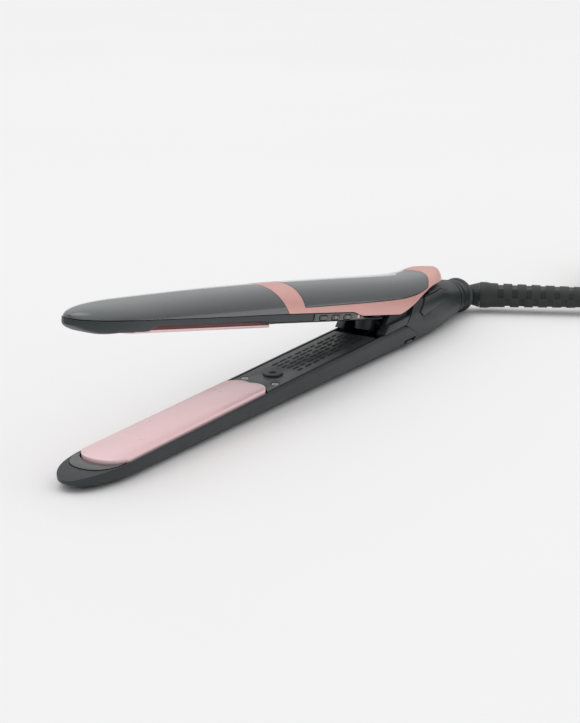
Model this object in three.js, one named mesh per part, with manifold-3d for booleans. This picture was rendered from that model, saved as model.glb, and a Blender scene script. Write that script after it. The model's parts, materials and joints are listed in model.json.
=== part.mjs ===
// Hair straightener (flat iron) with two sprung arms, floating ceramic plates, a sprung hinge,
// a swivelling cord exit and a mains cord put away in a coil.
// Millimetres, +Z up.  +X runs from the tips to the cord, -Y is the side with the buttons.
//
// Both arms are drawn closed, in an "arm frame": x = 0 at the hinge pin, z = 0 on the plane where
// the two plates meet.  The upper arm's group is then turned up about the pin, and the whole iron
// is tipped by the slope of its own underside so that it lies flat on z = 0.

import * as THREE from 'three';
import * as BufferGeometryUtils from 'three/addons/utils/BufferGeometryUtils.js';
import Module from 'manifold-3d';

const wasm = await Module();
wasm.setup();

// ---------------------------------------------------------------- driving dimensions
const GAP = 0.3;                 // clearance between touching pieces
const OPEN_ANGLE = 13.2;         // degrees between the arms at rest
const REST_SLOPE = 1.5;          // degrees between the plate plane and the underside
const HINGE_Z = -2.0;            // hinge pin below the plate plane
const PIN_RADIUS = 1.6;

const TIP_X = -229;              // nose of both arms
const PLATE_FRONT = -204;        // where the plate's straight sides start
const PLATE_REAR = -112.5;       // where they end
const PLATE_HALF = 11.0;
const PLATE_BOW_FRONT = 7.5;     // how far the bowed ends reach past the straight sides
const PLATE_BOW_REAR = 5.0;
const PLATE_THICK = 2.6;
const RIM_Z = -1.5;              // rim of the lower shell
const WALL = 1.7;                // plastic wall
const COVER_REAR = -23;          // end of the flat inner cover, where the hinge well begins
const JOINT_X = -100.6;          // front cover meets the trim ring at their lower edge
const JOINT_LEAN = 0.84;         // forward lean of that joint per millimetre of height
const TAIL_X = 45;               // rear end of the trim ring
const PANEL_ROUND = 8;           // where the handle panel starts to narrow to its round end
const PANEL_END = 27;
const NECK_X = 73;               // end of the neck
const UNDER_Z = -13.8;           // underside at x = 4
const UNDER_X = 4;

const BALL_X = 78.5;             // centre of the swivel ball
const BALL_Z = -7.6;
const BALL_R = 6.2;
const CORD_YAW = -63;            // degrees, direction in which the cord leaves the ball
const RELIEF_START = 9.3;        // from the ball's centre
const RELIEF_LENGTH = 60;
const CORD_R = 3.0;
const LEAD_LENGTH = 15;          // from the sleeve to the coil
const COIL_OUTER_R = 40;         // outermost turn's centre line
const COIL_LAP = 2.55;           // turns side by side in a layer
const COIL_PITCH = 6.1;          // centre line to centre line
const COIL_LAYERS = 3;
const COIL_CLIMB = 0.4;          // turns taken to climb from one layer to the next
const COIL_WHOLE_TURNS = 8;
const PLUG_HALF_THICK = 7.7;
const TIE_TURN = 125;            // degrees round the coil

// ---------------------------------------------------------------- colours
const CHARCOAL = 0x2c3133;
const GUNMETAL = 0x4a5054;
const GLOSS_BLACK = 0x15181a;
const ROSE = 0xd99b93;
const CERAMIC = 0xeec7ca;
const STEEL = 0xb9bcc0;
const RUBBER = 0x17191a;
const BRASS = 0xb79a55;

const rad = THREE.MathUtils.degToRad;

function material(color, roughness, metalness = 0) {
  return new THREE.MeshStandardMaterial({ color, roughness, metalness });
}

// ---------------------------------------------------------------- solid helpers
function merged(geometry) {
  const g = geometry.clone();
  g.deleteAttribute('normal');
  g.deleteAttribute('uv');
  return BufferGeometryUtils.mergeVertices(g, 1e-4);
}

function solid(geometry) {
  const g = merged(geometry);
  const mesh = new wasm.Mesh({
    numProp: 3,
    vertProperties: Float32Array.from(g.attributes.position.array),
    triVerts: Uint32Array.from(g.index.array),
  });
  mesh.merge();
  return new wasm.Manifold(mesh);
}

function geometryOf(body) {
  const mesh = body.getMesh();
  const g = new THREE.BufferGeometry();
  g.setAttribute('position', new THREE.BufferAttribute(Float32Array.from(mesh.vertProperties), 3));
  g.setIndex(new THREE.BufferAttribute(Uint32Array.from(mesh.triVerts), 1));
  g.computeVertexNormals();
  return g;
}

function join(...bodies) {
  return bodies.reduce((sum, body) => sum.add(body));
}

// A box from two corners.
function boxBody(x0, x1, y0, y1, z0, z1) {
  const g = new THREE.BoxGeometry(x1 - x0, y1 - y0, z1 - z0);
  g.translate((x0 + x1) / 2, (y0 + y1) / 2, (z0 + z1) / 2);
  return solid(g);
}

// A cylinder of radius r from point a to point b.
function rodBody(a, b, r, segments = 24, r2 = r) {
  const from = new THREE.Vector3(...a);
  const to = new THREE.Vector3(...b);
  const axis = to.clone().sub(from);
  const g = new THREE.CylinderGeometry(r2, r, axis.length(), segments);
  g.translate(0, axis.length() / 2, 0);
  g.applyQuaternion(new THREE.Quaternion().setFromUnitVectors(
    new THREE.Vector3(0, 1, 0), axis.normalize()));
  g.translate(from.x, from.y, from.z);
  return solid(g);
}

// A plan outline (x, y) raised from z0 to z1.
function planBody(shape, z0, z1, curveSegments = 16) {
  const g = new THREE.ExtrudeGeometry(shape, { depth: z1 - z0, bevelEnabled: false, curveSegments });
  g.translate(0, 0, z0);
  return solid(g);
}

// A side outline (x, z) carried across from y0 to y1.
function sideBody(points, y0, y1) {
  const shape = new THREE.Shape(points.map(([x, z]) => new THREE.Vector2(x, z)));
  const g = new THREE.ExtrudeGeometry(shape, { depth: y1 - y0, bevelEnabled: false });
  g.rotateX(Math.PI / 2);
  g.translate(0, y1, 0);
  return solid(g);
}

// Smooth value along x through hand-set stations [x, value].
function along(stations, x) {
  const n = stations.length;
  if (x <= stations[0][0]) return stations[0][1];
  if (x >= stations[n - 1][0]) return stations[n - 1][1];
  let i = 0;
  while (x > stations[i + 1][0]) i += 1;
  const slope = (k) => {
    if (k <= 0 || k >= n - 1) return 0;
    const a = (stations[k][1] - stations[k - 1][1]) / (stations[k][0] - stations[k - 1][0]);
    const b = (stations[k + 1][1] - stations[k][1]) / (stations[k + 1][0] - stations[k][0]);
    return a * b <= 0 ? 0 : (2 * a * b) / (a + b);
  };
  const first = (stations[1][1] - stations[0][1]) / (stations[1][0] - stations[0][0]);
  const last = (stations[n - 1][1] - stations[n - 2][1]) / (stations[n - 1][0] - stations[n - 2][0]);
  const [x0, v0] = stations[i];
  const [x1, v1] = stations[i + 1];
  const h = x1 - x0;
  const t = (x - x0) / h;
  const m0 = i === 0 ? first : slope(i);
  const m1 = i === n - 2 ? last : slope(i + 1);
  return (2 * t ** 3 - 3 * t ** 2 + 1) * v0 + (t ** 3 - 2 * t ** 2 + t) * h * m0
    + (-2 * t ** 3 + 3 * t ** 2) * v1 + (t ** 3 - t ** 2) * h * m1;
}

// Half width of a bow that closes at x = end, with full width w from x = start.
function bow(x, start, end, w, power = 2.4) {
  const t = THREE.MathUtils.clamp((x - start) / (end - start), 0, 1);
  return w * (1 - t ** power) ** (1 / power);
}

// Stations from a to b, closer together where an end is a bow.
function stations(a, b, steps, bowFront = 0, bowRear = 0) {
  const list = [];
  const bowSteps = 6;
  const middleStart = a + bowFront;
  const middleEnd = b - bowRear;
  if (bowFront) {
    for (let i = 0; i < bowSteps; i += 1) {
      list.push(middleStart - bowFront * Math.cos((i / bowSteps) * (Math.PI / 2)));
    }
  }
  for (let i = 0; i <= steps; i += 1) list.push(middleStart + ((middleEnd - middleStart) * i) / steps);
  if (bowRear) {
    for (let i = 1; i <= bowSteps; i += 1) {
      list.push(middleEnd + bowRear * Math.sin((i / bowSteps) * (Math.PI / 2)));
    }
  }
  return list;
}

// A body lofted along x.  Each station's section is a superellipse about z0, clipped flat at
// zMin and zMax.  It is a capped cylinder whose rings are carried to the stations.
function loft(xs, section, around = 28) {
  const rings = xs.length - 1;
  const g = new THREE.CylinderGeometry(1, 1, 1, around, rings);
  const p = g.attributes.position;
  for (let i = 0; i < p.count; i += 1) {
    const x = xs[Math.round((0.5 - p.getY(i)) * rings)];
    const s = section(x);
    const radius = Math.hypot(p.getX(i), p.getZ(i));
    const up = s.zMax - 0.001;
    if (radius < 0.5) {
      p.setXYZ(i, x, 0, (Math.max(s.z0 - s.down, s.zMin) + Math.min(s.z0 + s.up, up)) / 2);
      continue;
    }
    const angle = Math.atan2(p.getX(i), p.getZ(i));
    const c = Math.abs(Math.cos(angle)) < 1e-9 ? 0 : Math.cos(angle);
    const q = Math.abs(Math.sin(angle)) < 1e-9 ? 0 : Math.sin(angle);
    const power = q > 0 ? s.nUp : s.nDown;
    const y = s.b * Math.sign(c) * Math.abs(c) ** (2 / power);
    const z = s.z0 + (q > 0 ? s.up : -s.down) * Math.abs(q) ** (2 / power);
    p.setXYZ(i, x, Math.abs(y) < 1e-9 ? 0 : y, THREE.MathUtils.clamp(z, s.zMin, s.zMax));
  }
  return solid(outward(g));
}

// Turns the faces round if the body came out inside out.
function outward(geometry) {
  const g = merged(geometry);
  const p = g.attributes.position;
  const index = g.index.array;
  const a = new THREE.Vector3();
  const b = new THREE.Vector3();
  const c = new THREE.Vector3();
  let volume = 0;
  for (let i = 0; i < index.length; i += 3) {
    a.fromBufferAttribute(p, index[i]);
    b.fromBufferAttribute(p, index[i + 1]);
    c.fromBufferAttribute(p, index[i + 2]);
    volume += a.dot(b.cross(c));
  }
  if (volume < 0) {
    for (let i = 0; i < index.length; i += 3) {
      const keep = index[i];
      index[i] = index[i + 1];
      index[i + 1] = keep;
    }
  }
  return g;
}

// ---------------------------------------------------------------- profiles of the lower arm
const underside = (x) => UNDER_Z - Math.tan(rad(REST_SLOPE)) * (x - UNDER_X);

function lowerHalf(x) {
  if (x < -200) return Math.max(bow(x, -200, TIP_X, 12.7, 2.1), 2.4);
  return along([[-200, 12.7], [-110, 12.8], [-20, 13.3], [14, 13.3], [30, 12.9], [42, 12.0],
    [54, 10.4], [64, 9.0], [NECK_X, 8.3]], x);
}

function lowerBottom(x) {
  return along([[TIP_X, -4.4], [-225, -6.4], [-219, -7.6], [-211, -8.6],
    [-200, underside(-200) - 0.9], [-60, underside(-60) - 0.9], [30, underside(30) - 0.9],
    [48, -14.7], [60, -14.2],
    [NECK_X, -13.6]], x);
}

function lowerTop(x) {
  return along([[TIP_X, -3.0], [-226, -2.2], [-220, -1.7], [-213, RIM_Z], [-100, RIM_Z],
    [0, RIM_Z]], x);
}

function lowerSection(inset) {
  return (x) => {
    const z0 = along([[TIP_X, -3.7], [-215, -3.4], [-60, -3.8], [10, -4.5], [NECK_X, -6.0]], x);
    return {
      b: lowerHalf(x) - inset, z0, up: 4.2, down: z0 - lowerBottom(x) - inset, nUp: 3.2, nDown: 2.5,
      zMin: underside(x) + inset, zMax: lowerTop(x),
    };
  };
}

// The rear cuff has walls that stand up beside the hinge and closes to a round neck.
function cuffTop(x) {
  return along([[2, 4.2], [8, 6.0], [12, 7.2], [18, 8.1], [30, 8.6], [38, 8.3], [50, 6.4],
    [60, 4.2], [68, 2.2], [NECK_X, 1.2]], x);
}

function cuffSection(inset) {
  return (x) => {
    const z0 = along([[0, -4.2], [30, -4.2], [NECK_X, -6.2]], x);
    const power = along([[0, 5.5], [36, 4.6], [54, 2.8], [66, 2.1], [NECK_X, 2.0]], x);
    return {
      b: lowerHalf(x) - inset, z0, up: cuffTop(x) - z0 - inset, down: z0 - lowerBottom(x) - inset,
      nUp: power, nDown: along([[30, 2.5], [NECK_X, 2.05]], x),
      zMin: underside(x) + inset, zMax: 60,
    };
  };
}

// ---------------------------------------------------------------- profiles of the upper arm
function upperHalf(x) {
  if (x < -200) return Math.max(bow(x, -200, TIP_X, 12.7, 2.1), 2.2);
  if (x > 20) return Math.max(bow(x, 20, TAIL_X, 13.8, 2.2), 3.2);
  return along([[-200, 12.7], [-103, 12.9], [-40, 13.2], [5, 13.6], [20, 13.8]], x);
}

function upperTop(x) {
  return along([[TIP_X, 6.2], [-226, 7.6], [-220, 9.1], [-212, 10.3], [-200, 11.5], [-170, 13.5],
    [-140, 15.2], [-98, 17.1], [-40, 19.0], [5, 20.4], [24, 21.9], [36, 24.0], [TAIL_X, 24.4]], x);
}

// Lower edge of the front cover and of the trim ring.
function seam(x) {
  return along([[TIP_X, 4.9], [-208, 5.4], [-141, 5.6], [-105, 5.9], [-49, 5.8], [-43, 4.6],
    [-37, 3.2], [-30, 3.0], [-11, 3.1], [-5, 4.4], [5, 8.2], [15, 13.2], [24, 16.7], [34, 18.7],
    [TAIL_X, 20.4]], x);
}

// Edge of the handle panel on the side of the handle.
function panelEdge(x) {
  return along([[-88, 8.4], [-56, 9.2], [-7, 11.0], [8, 12.8], [18, 15.4], [26, 18.2]], x);
}

function upperPower(x) {
  return along([[TIP_X, 2.2], [-100, 2.4], [-40, 2.5], [20, 3.0], [TAIL_X, 4.0]], x);
}

function upperSection(inset, floor = null) {
  return (x) => ({
    b: upperHalf(x) - inset, z0: 4.0, up: upperTop(x) - 4.0 - inset, down: 0.2, nUp: upperPower(x),
    nDown: 2, zMin: floor === null ? 3.9 : floor, zMax: 60,
  });
}

function housingSection(inset, floorInset, top) {
  return (x) => {
    const bottom = along([[TIP_X, 2.6], [-225, 0.8], [-219, -0.5], [-212, -0.8], [-197, -0.8],
      [-190, 2.1], [-121, 2.1], [-113, 0.8], [-106, 1.0], [-20, 1.0]], x);
    return {
      b: upperHalf(x) - inset, z0: 4.0, up: 3, down: 4.0 - bottom - floorInset, nUp: 9, nDown: 3.4,
      zMin: bottom + floorInset, zMax: top(x),
    };
  };
}

// Region above a curve in side view, used to trim the lofted skins.
function regionAbove(curve, x0, x1, steps, lift = 0) {
  const points = [];
  for (let i = 0; i <= steps; i += 1) {
    const x = x0 + ((x1 - x0) * i) / steps;
    points.push([x, curve(x) + lift]);
  }
  points.push([x1, 60], [x0, 60]);
  return sideBody(points, -30, 30);
}

const aboveSeam = (lift) => regionAbove(seam, TIP_X - 7, TAIL_X + 5, 43, lift);

// ---------------------------------------------------------------- outlines shared by both arms
// Plate outline with bowed ends; grow moves it outward.
function plateOutline(grow = 0) {
  const h = PLATE_HALF + grow;
  const s = new THREE.Shape();
  s.moveTo(PLATE_REAR, -h);
  s.quadraticCurveTo(PLATE_REAR + 1.6 * PLATE_BOW_REAR + grow, -h * 0.62,
    PLATE_REAR + PLATE_BOW_REAR + grow, 0);
  s.quadraticCurveTo(PLATE_REAR + 1.6 * PLATE_BOW_REAR + grow, h * 0.62, PLATE_REAR, h);
  s.lineTo(PLATE_FRONT, h);
  s.quadraticCurveTo(PLATE_FRONT - PLATE_BOW_FRONT - grow, h * 0.78,
    PLATE_FRONT - PLATE_BOW_FRONT - grow, 0);
  s.quadraticCurveTo(PLATE_FRONT - PLATE_BOW_FRONT - grow, -h * 0.78, PLATE_FRONT, -h);
  s.closePath();
  return s;
}

// Crescent insert in front of the plate.
function crescentOutline(grow = 0) {
  const inner = PLATE_FRONT - PLATE_BOW_FRONT - 0.9 + grow;
  const outer = PLATE_FRONT - PLATE_BOW_FRONT - 7.6 - grow;
  const h = 10.9 + grow;
  const back = PLATE_FRONT - 1.4 + grow;
  const s = new THREE.Shape();
  s.moveTo(back, -h);
  s.quadraticCurveTo(inner, -h * 0.76, inner, 0);
  s.quadraticCurveTo(inner, h * 0.76, back, h);
  s.lineTo(back - 3.4, h + 0.2);
  s.quadraticCurveTo(outer, h * 0.86, outer, 0);
  s.quadraticCurveTo(outer, -h * 0.86, back - 3.4, -h - 0.2);
  s.closePath();
  return s;
}

// Long flat cover behind the plate, bowed in at its front to follow the plate's end.
function innerCoverOutline(half, front, rear) {
  const s = new THREE.Shape();
  s.moveTo(front, -half);
  s.lineTo(rear, -half);
  s.lineTo(rear, half);
  s.lineTo(front, half);
  s.quadraticCurveTo(front + 5.4, half * 0.62, front + 5.4, 0);
  s.quadraticCurveTo(front + 5.4, -half * 0.62, front, -half);
  s.closePath();
  return s;
}

// ---------------------------------------------------------------- scene graph
const iron = new THREE.Group();
const armFrame = new THREE.Group();
armFrame.rotation.y = -rad(REST_SLOPE);
const upperArm = new THREE.Group();
upperArm.position.set(0, 0, HINGE_Z);
upperArm.rotation.y = rad(OPEN_ANGLE);
const upperFrame = new THREE.Group();
upperFrame.position.set(0, 0, -HINGE_Z);
upperArm.add(upperFrame);
armFrame.add(upperArm);
iron.add(armFrame);

function add(group, name, body, look) {
  const geometry = body instanceof THREE.BufferGeometry ? body : geometryOf(body);
  const mesh = new THREE.Mesh(geometry, look);
  mesh.name = name;
  group.add(mesh);
  return mesh;
}

const charcoal = material(CHARCOAL, 0.6);
const gunmetal = material(GUNMETAL, 0.18, 0.55);
const glossBlack = material(GLOSS_BLACK, 0.15);
const rose = material(ROSE, 0.32, 0.35);
const ceramic = material(CERAMIC, 0.25, 0.1);
const steel = material(STEEL, 0.3, 0.9);
const rubber = material(RUBBER, 0.75);
const brass = material(BRASS, 0.35, 0.9);

// ---------------------------------------------------------------- lower arm
// Seam between the lower shell, the hinge fork and the cuff, in side view.
const SEAM_LOW = [[0.7, RIM_Z], [10.6, -7.4], [22, -16]];
const shellRegion = (gap) => sideBody([[-260, 8], [-60, 8], [SEAM_LOW[0][0] - gap, 8],
  [SEAM_LOW[0][0] - gap, SEAM_LOW[0][1]], [SEAM_LOW[1][0] - gap, SEAM_LOW[1][1]],
  [SEAM_LOW[2][0] - gap, SEAM_LOW[2][1]], [-260, -30]], -30, 30);
const cuffRegion = (gap) => sideBody([[SEAM_LOW[0][0] + gap, SEAM_LOW[0][1]], [13.5 + gap, 8.0],
  [16 + gap, 20], [90, 20], [90, -30], [SEAM_LOW[2][0] + 19 + gap, -30],
  [SEAM_LOW[2][0] + gap, SEAM_LOW[2][1]], [SEAM_LOW[1][0] + gap, SEAM_LOW[1][1]]], -30, 30);

function lowerShell() {
  const outer = loft(stations(TIP_X, 24, 10, 33), lowerSection(0), 26);
  const cavity = loft(stations(-199, 30, 5), (x) => ({
    ...lowerSection(WALL)(x), nUp: 12, zMax: 6, up: 10 }), 16);
  const plateWell = planBody(plateOutline(0.7), -4.6, 4);
  const crescent = planBody(crescentOutline(GAP), -3.3, 4);
  const coverSeat = planBody(innerCoverOutline(11.5, PLATE_REAR - 1, COVER_REAR + 0.4), -3.6, 4);
  const sliderSlot = boxBody(1.2, 11.4, -16, -8, -11.3, -9.2);
  const body = outer.subtract(cavity).subtract(plateWell).subtract(crescent).subtract(coverSeat);
  return body.intersect(shellRegion(0.15)).subtract(sliderSlot);
}

function innerCover() {
  const plate = planBody(innerCoverOutline(10.6, PLATE_REAR + 1.2, COVER_REAR), -3.0, RIM_Z)
    .subtract(planBody(plateOutline(0.8), -9, 4));
  const recess = rodBody([-90, 0, -2.2], [-90, 0, 0], 4.4, 32);
  let body = plate.subtract(recess);
  for (const y of [-7.6, 7.6]) body = body.subtract(rodBody([-100, y, -2.3], [-100, y, 0], 1.9, 20));
  const ribs = [];
  for (let row = 0; row < 6; row += 1) {
    for (let k = 0; k < 9; k += 1) {
      const x = -80 + k * 6.1;
      const y = -6.5 + row * 2.6;
      ribs.push(boxBody(x, x + 4.4, y, y + 1.1, -1.7, -1.28));
    }
  }
  return join(body, ...ribs);
}

function bumper() {
  const profile = [[0, -2.0], [4.0, -2.0], [4.0, -1.0], [3.4, -0.75], [1.7, -0.75], [1.3, -1.3], [0, -1.3]];
  return latheAt(profile, -90, 0, 0, 32);
}

// Lathe profile [r, z] about a vertical axis at (x, y).
function latheAt(profile, x, y, z, segments) {
  const g = new THREE.LatheGeometry(profile.map(([r, h]) => new THREE.Vector2(r, h)), segments);
  g.rotateX(Math.PI / 2);
  g.translate(x, y, z);
  return solid(outward(g));
}

// Screw sunk in a face whose outside looks along `up` (1 or -1), with a cross slot.
function screw(x, y, headZ, up) {
  const head = rodBody([x, y, headZ - 0.6 * up], [x, y, headZ], 1.5, 20);
  const slotA = boxBody(x - 1, x + 1, y - 0.22, y + 0.22, headZ - 0.3, headZ + 0.3);
  const slotB = boxBody(x - 0.22, x + 0.22, y - 1, y + 1, headZ - 0.3, headZ + 0.3);
  return head.subtract(slotA).subtract(slotB);
}

// Fork with two ears beside the knuckle and a web below it.
function hingeFork() {
  const wall = (y0, y1) => sideBody([[-18.2, -10.4], [-18.2, -1.2], [-9.4, 6.6], [9.2, 6.9], [6.4, -1.0],
    [7.2, -10.4]], y0, y1);
  const shoulder = sideBody([[-18.4, -1.2], [-14.8, 2.3], [4.2, 2.3], [0.75, -1.2]], -30, 30)
    .intersect(loft([-30, -10, 10], (x) => ({ ...lowerSection(0)(x), up: 12, nUp: 14, zMax: 5 }), 20));
  const middle = boxBody(-40, 40, -8.9, 8.9, -30, 30);
  const web = boxBody(-18.2, 7.2, -10.8, 10.8, -10.4, -8.9);
  let body = join(wall(8.9, 10.9), wall(-10.9, -8.9), shoulder.subtract(middle), web);
  const cavityLimit = loft([-30, 10], (x) => ({
    ...lowerSection(WALL + GAP)(x), nUp: 12, up: 20, zMax: 30 }), 16);
  const below = body.intersect(boxBody(-40, 40, -30, 30, -30, -1.35)).intersect(cavityLimit);
  const above = body.intersect(boxBody(-40, 40, -30, 30, -1.35, 30));
  body = below.add(above).subtract(boxBody(0.4, 20, -12, -7.2, -12, -8.6));
  return body.subtract(rodBody([0, -11.2, HINGE_Z], [0, 11.2, HINGE_Z], PIN_RADIUS + 0.3, 24));
}

function rearCuff() {
  const outer = loft(stations(-6, NECK_X, 13), cuffSection(0), 24).intersect(cuffRegion(0.15));
  const well = sideBody([[-20, -11.3], [19, -11.3], [26, 2], [30, 30], [-20, 30]], -11.3, 11.3);
  const wellLimit = loft(stations(-10, 40, 3), (x) => ({ ...cuffSection(2.1)(x), up: 40, nUp: 14 }), 16);
  const bore = rodBody([20, 0, -6.6], [62, 0, BALL_Z], 3.6, 20);
  const socket = ballBody(BALL_R + 0.5).add(rodBody([64, 0, BALL_Z], [BALL_X, 0, BALL_Z], 4.6, 28));
  const earRelief = boxBody(-12, 9.6, -11.3, 11.3, -12, 30);
  let body = outer.subtract(well.intersect(wellLimit)).subtract(bore).subtract(socket).subtract(earRelief);
  body = body.subtract(panelPocket());
  for (const groove of [62, 66.5]) {
    const ring = rodBody([groove, 0, -6.2], [groove + 1.2, 0, -6.2], 14, 12)
      .subtract(loft([groove - 1, groove + 3], cuffSection(0.7), 24));
    body = body.subtract(ring);
  }
  return body;
}

const PANEL_SIDE = [[13.6, 1.8], [16.4, -0.6], [41.5, 1.6], [50.5, 1.2], [37.5, 6.6], [20.5, 6.9]];
function grown(points, amount) {
  const cx = points.reduce((s, p) => s + p[0], 0) / points.length;
  const cz = points.reduce((s, p) => s + p[1], 0) / points.length;
  return points.map(([x, z]) => {
    const d = Math.hypot(x - cx, z - cz);
    return [x + ((x - cx) / d) * amount, z + ((z - cz) / d) * amount];
  });
}

function panelPocket() {
  return sideBody(grown(PANEL_SIDE, 0.45), -30, 30)
    .subtract(loft(stations(0, 60, 6), cuffSection(1.1), 20));
}

function sidePanel(side) {
  const skin = loft(stations(4, 60, 8), cuffSection(-0.45), 20)
    .subtract(loft(stations(4, 60, 8), cuffSection(0.75), 20));
  const half = side < 0 ? boxBody(0, 80, -30, -4, -30, 30) : boxBody(0, 80, 4, 30, -30, 30);
  return skin.intersect(sideBody(PANEL_SIDE, -30, 30)).intersect(half);
}

function ballBody(r) {
  const g = new THREE.SphereGeometry(r, 18, 10);
  g.rotateX(Math.PI / 2);
  g.translate(BALL_X, 0, BALL_Z);
  return solid(g);
}

function neckCollar() {
  const profile = [[6.9, 0], [8.0, 0], [8.6, 0.6], [8.6, 1.9], [8.0, 2.6], [6.9, 2.6], [6.9, 0]];
  const g = new THREE.LatheGeometry(profile.map(([r, h]) => new THREE.Vector2(r, h)), 24);
  g.rotateZ(-Math.PI / 2);
  g.translate(NECK_X + GAP, 0, BALL_Z + 0.6);
  return solid(outward(g));
}

function lockSlider() {
  const knob = boxBody(2.0, 6.6, -12.9, -8.7, -10.9, -9.6);
  const plate = boxBody(0.9, 7.7, -8.7, -7.6, -10.5, -9.0);
  return knob.add(plate);
}

function plateBody(z0, z1, chamferUp) {
  const body = planBody(plateOutline(0), z0, z1, 20);
  const edge = chamferUp ? z1 : z0;
  const cut = 0.5;
  const s = chamferUp ? 1 : -1;
  const side = (sign) => {
    const g = new THREE.BoxGeometry(120, 1.4, 1.4);
    g.rotateX(Math.PI / 4);
    g.translate((PLATE_FRONT + PLATE_REAR) / 2, sign * (PLATE_HALF + 0.2 + cut / 2 - 0.1), edge + s * 0.25);
    return solid(g);
  };
  return body.subtract(side(1)).subtract(side(-1));
}

function slab(x0, x1, half, z0, z1, corner = 2.5) {
  const s = new THREE.Shape();
  s.moveTo(x0 + corner, -half);
  s.lineTo(x1 - corner, -half);
  s.quadraticCurveTo(x1, -half, x1, -half + corner);
  s.lineTo(x1, half - corner);
  s.quadraticCurveTo(x1, half, x1 - corner, half);
  s.lineTo(x0 + corner, half);
  s.quadraticCurveTo(x0, half, x0, half - corner);
  s.lineTo(x0, -half + corner);
  s.quadraticCurveTo(x0, -half, x0 + corner, -half);
  return planBody(s, z0, z1, 5);
}

function buildLowerArm() {
  add(armFrame, 'lower_shell', lowerShell(), charcoal);
  add(armFrame, 'lower_inner_cover', innerCover(), charcoal);
  add(armFrame, 'lower_tip_insert', planBody(crescentOutline(0), -3.0, RIM_Z + 0.2)
    .intersect(loft(stations(TIP_X, -190, 6, 33), (x) => ({
      ...lowerSection(0.4)(x), zMax: lowerTop(x) + 0.25 }), 30)), glossBlack);
  add(armFrame, 'hinge_fork', hingeFork(), charcoal);
  add(armFrame, 'rear_cuff', rearCuff(), charcoal);
  add(armFrame, 'cuff_panel_near', sidePanel(-1), glossBlack);
  add(armFrame, 'cuff_panel_far', sidePanel(1), glossBlack);
  add(armFrame, 'neck_collar', neckCollar(), rubber);
  add(armFrame, 'rest_bumper', bumper(), rubber);
  add(armFrame, 'cover_screw_near', screw(-100, -7.6, -1.65, 1), steel);
  add(armFrame, 'cover_screw_far', screw(-100, 7.6, -1.65, 1), steel);
  add(armFrame, 'lower_plate', plateBody(-0.1 - PLATE_THICK, -0.1, true), ceramic);
  add(armFrame, 'lower_heater', slab(-196, -120, 6, -4.0, -3.0, 1), brass);
  add(armFrame, 'lower_plate_carrier', slab(-196, -116, 7.2, -5.4, -4.3), steel);
  add(armFrame, 'lower_pad_front', slab(-158, -148, 4.5, -7.5, -6.4, 1), rubber);
  add(armFrame, 'lower_pad_rear', slab(-130, -120, 4.5, -7.9, -6.4, 1), rubber);
  add(armFrame, 'lock_slider', lockSlider(), glossBlack);
}

// ---------------------------------------------------------------- hinge
function knuckleHole() {
  return rodBody([0, -12, HINGE_Z], [0, 12, HINGE_Z], PIN_RADIUS + 0.3, 24);
}

function hingeSpring() {
  const turns = 3.5;
  const r = 2.9;
  const points = [];
  points.push(new THREE.Vector3(-9.0, -1.9, HINGE_Z + r));
  points.push(new THREE.Vector3(-4.5, -1.9, HINGE_Z + r));
  const steps = 40;
  for (let i = 0; i <= steps; i += 1) {
    const a = (i / steps) * turns * 2 * Math.PI;
    points.push(new THREE.Vector3(r * Math.sin(a), -1.9 + (3.8 * i) / steps, HINGE_Z + r * Math.cos(a)));
  }
  points.push(new THREE.Vector3(-5.5, 1.9, HINGE_Z - r));
  points.push(new THREE.Vector3(-10.5, 1.9, HINGE_Z - r));
  return tubeGeometry(points, 0.45, 60, 6);
}

function tubeGeometry(points, r, steps, sides) {
  const curve = new THREE.CatmullRomCurve3(points, false, 'centripetal');
  const section = new THREE.Shape();
  for (let i = 0; i < sides; i += 1) {
    const a = (i / sides) * 2 * Math.PI;
    if (i === 0) section.moveTo(r * Math.cos(a), r * Math.sin(a));
    else section.lineTo(r * Math.cos(a), r * Math.sin(a));
  }
  section.closePath();
  return outward(new THREE.ExtrudeGeometry(section, { steps, extrudePath: curve, bevelEnabled: false }));
}

function washer(y0, y1) {
  return rodBody([0, y0, HINGE_Z], [0, y1, HINGE_Z], 4.2, 24)
    .subtract(rodBody([0, y0 - 1, HINGE_Z], [0, y1 + 1, HINGE_Z], PIN_RADIUS + 0.3, 24));
}

function buildHinge() {
  add(armFrame, 'hinge_pin', rodBody([0, -10.9, HINGE_Z], [0, 10.9, HINGE_Z], PIN_RADIUS, 24), steel);
  add(armFrame, 'hinge_washer_near', washer(-8.6, -8.0), brass);
  add(armFrame, 'hinge_washer_far', washer(8.0, 8.6), brass);
  add(armFrame, 'hinge_spring', hingeSpring(), steel);
}

// ---------------------------------------------------------------- upper arm
const BUTTON_X = [-74, -64, -54];

// The slanted joint between the front cover and the trim ring, from below to above.
function jointLine(shift) {
  const at = (z) => [JOINT_X + shift - JOINT_LEAN * (z - 5.7), z];
  return [at(-5), at(24)];
}

function frontCover() {
  const outer = loft(stations(TIP_X, JOINT_X + 5, 7, 33), upperSection(0), 26);
  const inner = loft(stations(-220, JOINT_X + 9, 4, 20), (x) => ({
    ...upperSection(1.6)(x), b: Math.max(upperHalf(x) - 1.6, 1), zMin: 0, down: 4, nDown: 9 }), 20);
  return outer.intersect(aboveSeam(0)).subtract(inner)
    .intersect(sideBody([[-240, -5], ...jointLine(-0.2), [-240, 24]], -30, 30));
}

function handleSkin(inset, thickness) {
  const outer = loft(stations(JOINT_X - 14, TAIL_X - inset, 11, 0, 28), upperSection(inset), 26);
  const inner = loft(stations(JOINT_X - 18, TAIL_X - inset - thickness, 8, 0, 26), (x) => ({
    ...upperSection(inset + thickness)(x), zMin: 0, down: 4, nDown: 9 }), 24);
  return outer.subtract(inner);
}

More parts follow.
